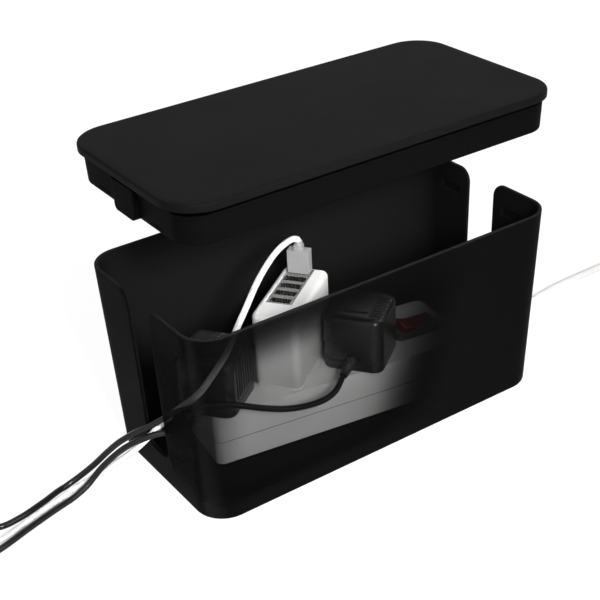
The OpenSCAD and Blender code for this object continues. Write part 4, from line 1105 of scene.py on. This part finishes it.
def adapter_shape(points, lean, fin_depth, ribbed):
    """The near face leans back with height. Rows of short fins are cut into both sides of the
    roof, with two long grooves near the cord; a ribbed adapter has rounded ribs instead, that
    run from its roof down its right side."""
    def ramp(value, width):
        """From 0 to 1 over a width."""
        return np.clip(value / width, 0, 1)

    x, y, z = points[..., 0], points[..., 1], points[..., 2]
    high = ADAPTER[2]
    lean = lean * ramp(-x, ADAPTER[0] / 2) ** 2 * ramp(z - 6, 24)
    if ribbed:
        start, end, pitch = -11.5, 15.0, 3.3
        wave = 0.5 - 0.5 * np.cos((x - start) * 2 * math.pi / pitch)
        zone = ramp(x - start, 1.0) * ramp(end - x, 1.0)
        side = ramp(3.0 - y, 3.0) * ramp(z - 7.5, 1.5)
        out_y, out_z = ramp(-y - 11, 6), np.clip((z - high + 7) / 6, 0.001, 1)
        depth = 2.2 * fin_depth * wave ** 2 * zone * side / np.hypot(out_y, out_z)
        y = y + depth * out_y
        z = z - depth * out_z
    else:
        def grooves(places, zone):
            """The deepest of equal slots across X at some places, within a zone."""
            return np.max([np.clip(1.6 - np.abs(x - at) / 0.5, 0, 1) * zone for at in places], 0)

        fins = np.maximum(grooves([3 * i - 14.5 for i in range(9)], ramp(np.abs(y) - 8.6, 0.5)),
                          grooves((-14.2, -8.8), ramp(7.6 - np.abs(y), 0.5)))
        z = z - fin_depth * fins * ramp(z - high + 4.5, 1.2)
    return np.stack([x + lean, y, z], -1)


def adapter_shell(socket, lean, edge_r, fin_depth, ribbed):
    """Roof grid, rings and floor of one adapter's shell over its lower shell, shaped and set on
    its socket."""
    def placed(points, wrap):
        """Grid of points shaped and set on the socket."""
        return grid(on_adapter(adapter_shape(points, lean, fin_depth, ribbed), socket), wrap)

    roof, rings = capped_block(edge_r, 0.42)
    top = np.concatenate([roof, np.full(roof.shape[:2] + (1,), ADAPTER[2])], -1)
    low = rings[-1:]
    floor = np.concatenate([low, np.repeat(low.mean(1, keepdims=True), low.shape[1], 1)])
    return [placed(top, False), placed(rings, True), placed(floor, True)]


def adapter_foot(socket):
    """Lower shell of an adapter: the same outline carried up to the parting line, drawn in at a
    small round there."""
    return soft_block((*ADAPTER[:2], ADAPTER_SPLIT[0]), ADAPTER_CORNER, 0.5,
                      lambda p: on_adapter(p, socket), 4, 0.4, (30, 28, 12))


def relief(socket):
    """Ringed strain relief: a taper whose radius drops at evenly spaced grooves."""
    length = RELIEF[socket][0]
    root_r, tip_r, pitch = 3.2, 2.35, 2.8
    start = relief_point(socket, 0.1)
    ahead = np.array(relief_point(socket, length)) - start
    s = np.linspace(0, length - 0.1, 90)
    from_groove = np.abs(((s - pitch / 2) % pitch) - pitch / 2) - 0.6
    groove = 0.5 - 0.5 * np.tanh(from_groove / 0.15)
    groove *= (s > 2.0) & (s < length - 1.6)
    r = root_r - (root_r - tip_r) * s / length - 0.85 * groove
    profile = [(0, 0.0), (0, 3.0), (0.2, root_r), *zip(s[1:], r[1:]), (length - 0.02, 2.1),
               (length, 1.75), (length, 0.0)]
    return lathe(profile, start, ahead, 28)


class CABLEBOX_OT_adapters(bpy.types.Operator):
    """Plug-in adapters: upper and lower shells, strain reliefs and transformers"""
    bl_idname = "cable_box.adapters"
    bl_label = "Adapters"

    def execute(self, context):
        s = context.scene.cable_box_adapters
        black = moulded("adapter_black", s.colour, 0.3, 3.0, 0.001, 0.04, 0.5, 0.3)
        matt = moulded("relief_black", s.colour, 0.42, 0.5, 0.01)
        for socket, side, ribbed, edge in ((-1, "left", True, s.ribbed_round),
                                           (1, "right", False, s.edge_round)):
            body = side + "_adapter"
            shells = adapter_shell(socket, s.lean / MM, edge / MM, s.fin_depth / MM, ribbed)
            for name, made, finish, crease, node in (
                ("_adapter_upper", shells, black, 40, "_shell"),
                ("_adapter_lower", [adapter_foot(socket)], black, 40, "_base"),
                ("_relief_moulding", [relief(socket)], matt, 50, "_relief"),
            ):
                piece(side + name, made, finish, crease, (body + node,), body)
        repaint(stacked_steel("stacked_steel"), "left_adapter_transformer",
                "right_adapter_transformer")
        return {"FINISHED"}


# ---- the stage ------------------------------------------------------------

class CABLEBOX_OT_stage(bpy.types.Operator):
    """Pale floor, soft lamps and a white room"""
    bl_idname = "cable_box.stage"
    bl_label = "Stage"

    def execute(self, context):
        s = context.scene.cable_box_stage
        gx, gy = np.meshgrid(*[np.linspace(-2.2, 2.2, 9)] * 2)
        points, quads = grid(np.stack([gx, gy, 0 * gx], -1))
        mesh = bpy.data.meshes.new("floor")
        mesh.from_pydata(points.tolist(), [], quads.tolist())
        floor = linked("floor", mesh)
        pale = Finish("floor_pale")
        pale.tinted(pale.noise(300), s.floor_colour, 0.01)
        pale.shade({"Roughness": 0.9, "Specular IOR Level": 0.1})
        pale.surface("Material Output", pale.product(pale.background_rays(), 0.8),
                     pale.shader.outputs[0], pale.add("Emission", {"Strength": 1.14}))
        mesh.materials.append(pale.material)
        world = bpy.data.worlds.new("room")
        context.scene.world = world
        world.use_nodes = True
        air = Nodes(world.node_tree)
        room = air.tree.nodes["Background"]
        room.inputs["Color"].default_value = (1, 1, 1, 1)
        room.inputs["Strength"].default_value = s.world
        air.surface("World Output", air.background_rays(), room.outputs[0],
                    air.add("Background", {"Color": (1, 1, 1, 1), "Strength": 1.0}))
        # Name, place, what it is aimed at, size, power and cone.
        for name, place, aim, size, power, cone in (
            ("key_lamp", (0.45, -1.25, 0.95), (0, 0, 0.05), 0.9, 11.0, 180),
            ("side_lamp", (-0.75, -1.15, 0.75), (0, 0, 0.05), 0.6, 3.0, 180),
            ("inside_lamp", (-0.25, -0.85, 0.6), (-0.02, 0, 0.065), 0.2, 0.5, 30),
        ):
            data = bpy.data.lights.new(name, "AREA")
            data.size = size
            data.energy = power * s.lamp
            data.spread = math.radians(cone)
            lamp = linked(name, data)
            lamp.location = place
            way = Vector(aim) - Vector(place)
            lamp.rotation_euler = way.to_track_quat("-Z", "Y").to_euler()
        context.scene.view_settings.view_transform = "Standard"
        return {"FINISHED"}


class CABLEBOX_PT_panel(bpy.types.Panel):
    """Pieces of the cable box, with their sizes and colours"""
    bl_idname = "CABLEBOX_PT_panel"
    bl_label = "Cable Box"
    bl_space_type = "VIEW_3D"
    bl_region_type = "UI"
    bl_category = "Cable Box"

    def draw(self, context):
        for group in GROUPS:
            box = self.layout.box()
            settings = getattr(context.scene, group)
            for name in settings.__annotations__:
                box.prop(settings, name)
        for operator in OPERATORS:
            self.layout.operator(operator.bl_idname)


GROUPS = {
    "cable_box": BoxSettings,
    "cable_box_strip": StripSettings,
    "cable_box_adapters": AdapterSettings,
    "cable_box_cords": CordSettings,
    "cable_box_stage": StageSettings,
}
OPERATORS = (CABLEBOX_OT_camera, CABLEBOX_OT_cords, CABLEBOX_OT_connectors, CABLEBOX_OT_tub,
             CABLEBOX_OT_lid, CABLEBOX_OT_strip, CABLEBOX_OT_switch, CABLEBOX_OT_charger,
             CABLEBOX_OT_adapters, CABLEBOX_OT_stage)
CLASSES = (*GROUPS.values(), *OPERATORS, CABLEBOX_PT_panel)


def register():
    """Register every class and hang the settings on the scene."""
    for made in CLASSES:
        bpy.utils.register_class(made)
    for name, group in GROUPS.items():
        setattr(bpy.types.Scene, name, PointerProperty(type=group))


def unregister():
    """Take away what register added."""
    for name in GROUPS:
        delattr(bpy.types.Scene, name)
    for made in reversed(CLASSES):
        bpy.utils.unregister_class(made)


def main():
    """Build every piece in order."""
    register()
    bpy.ops.cable_box.camera()
    bpy.ops.cable_box.cords()
    bpy.ops.cable_box.connectors()
    bpy.ops.cable_box.tub()
    bpy.ops.cable_box.lid()
    bpy.ops.cable_box.strip()
    bpy.ops.cable_box.switch()
    bpy.ops.cable_box.charger()
    bpy.ops.cable_box.adapters()
    bpy.ops.cable_box.stage()


if __name__ == "__main__":
    main()
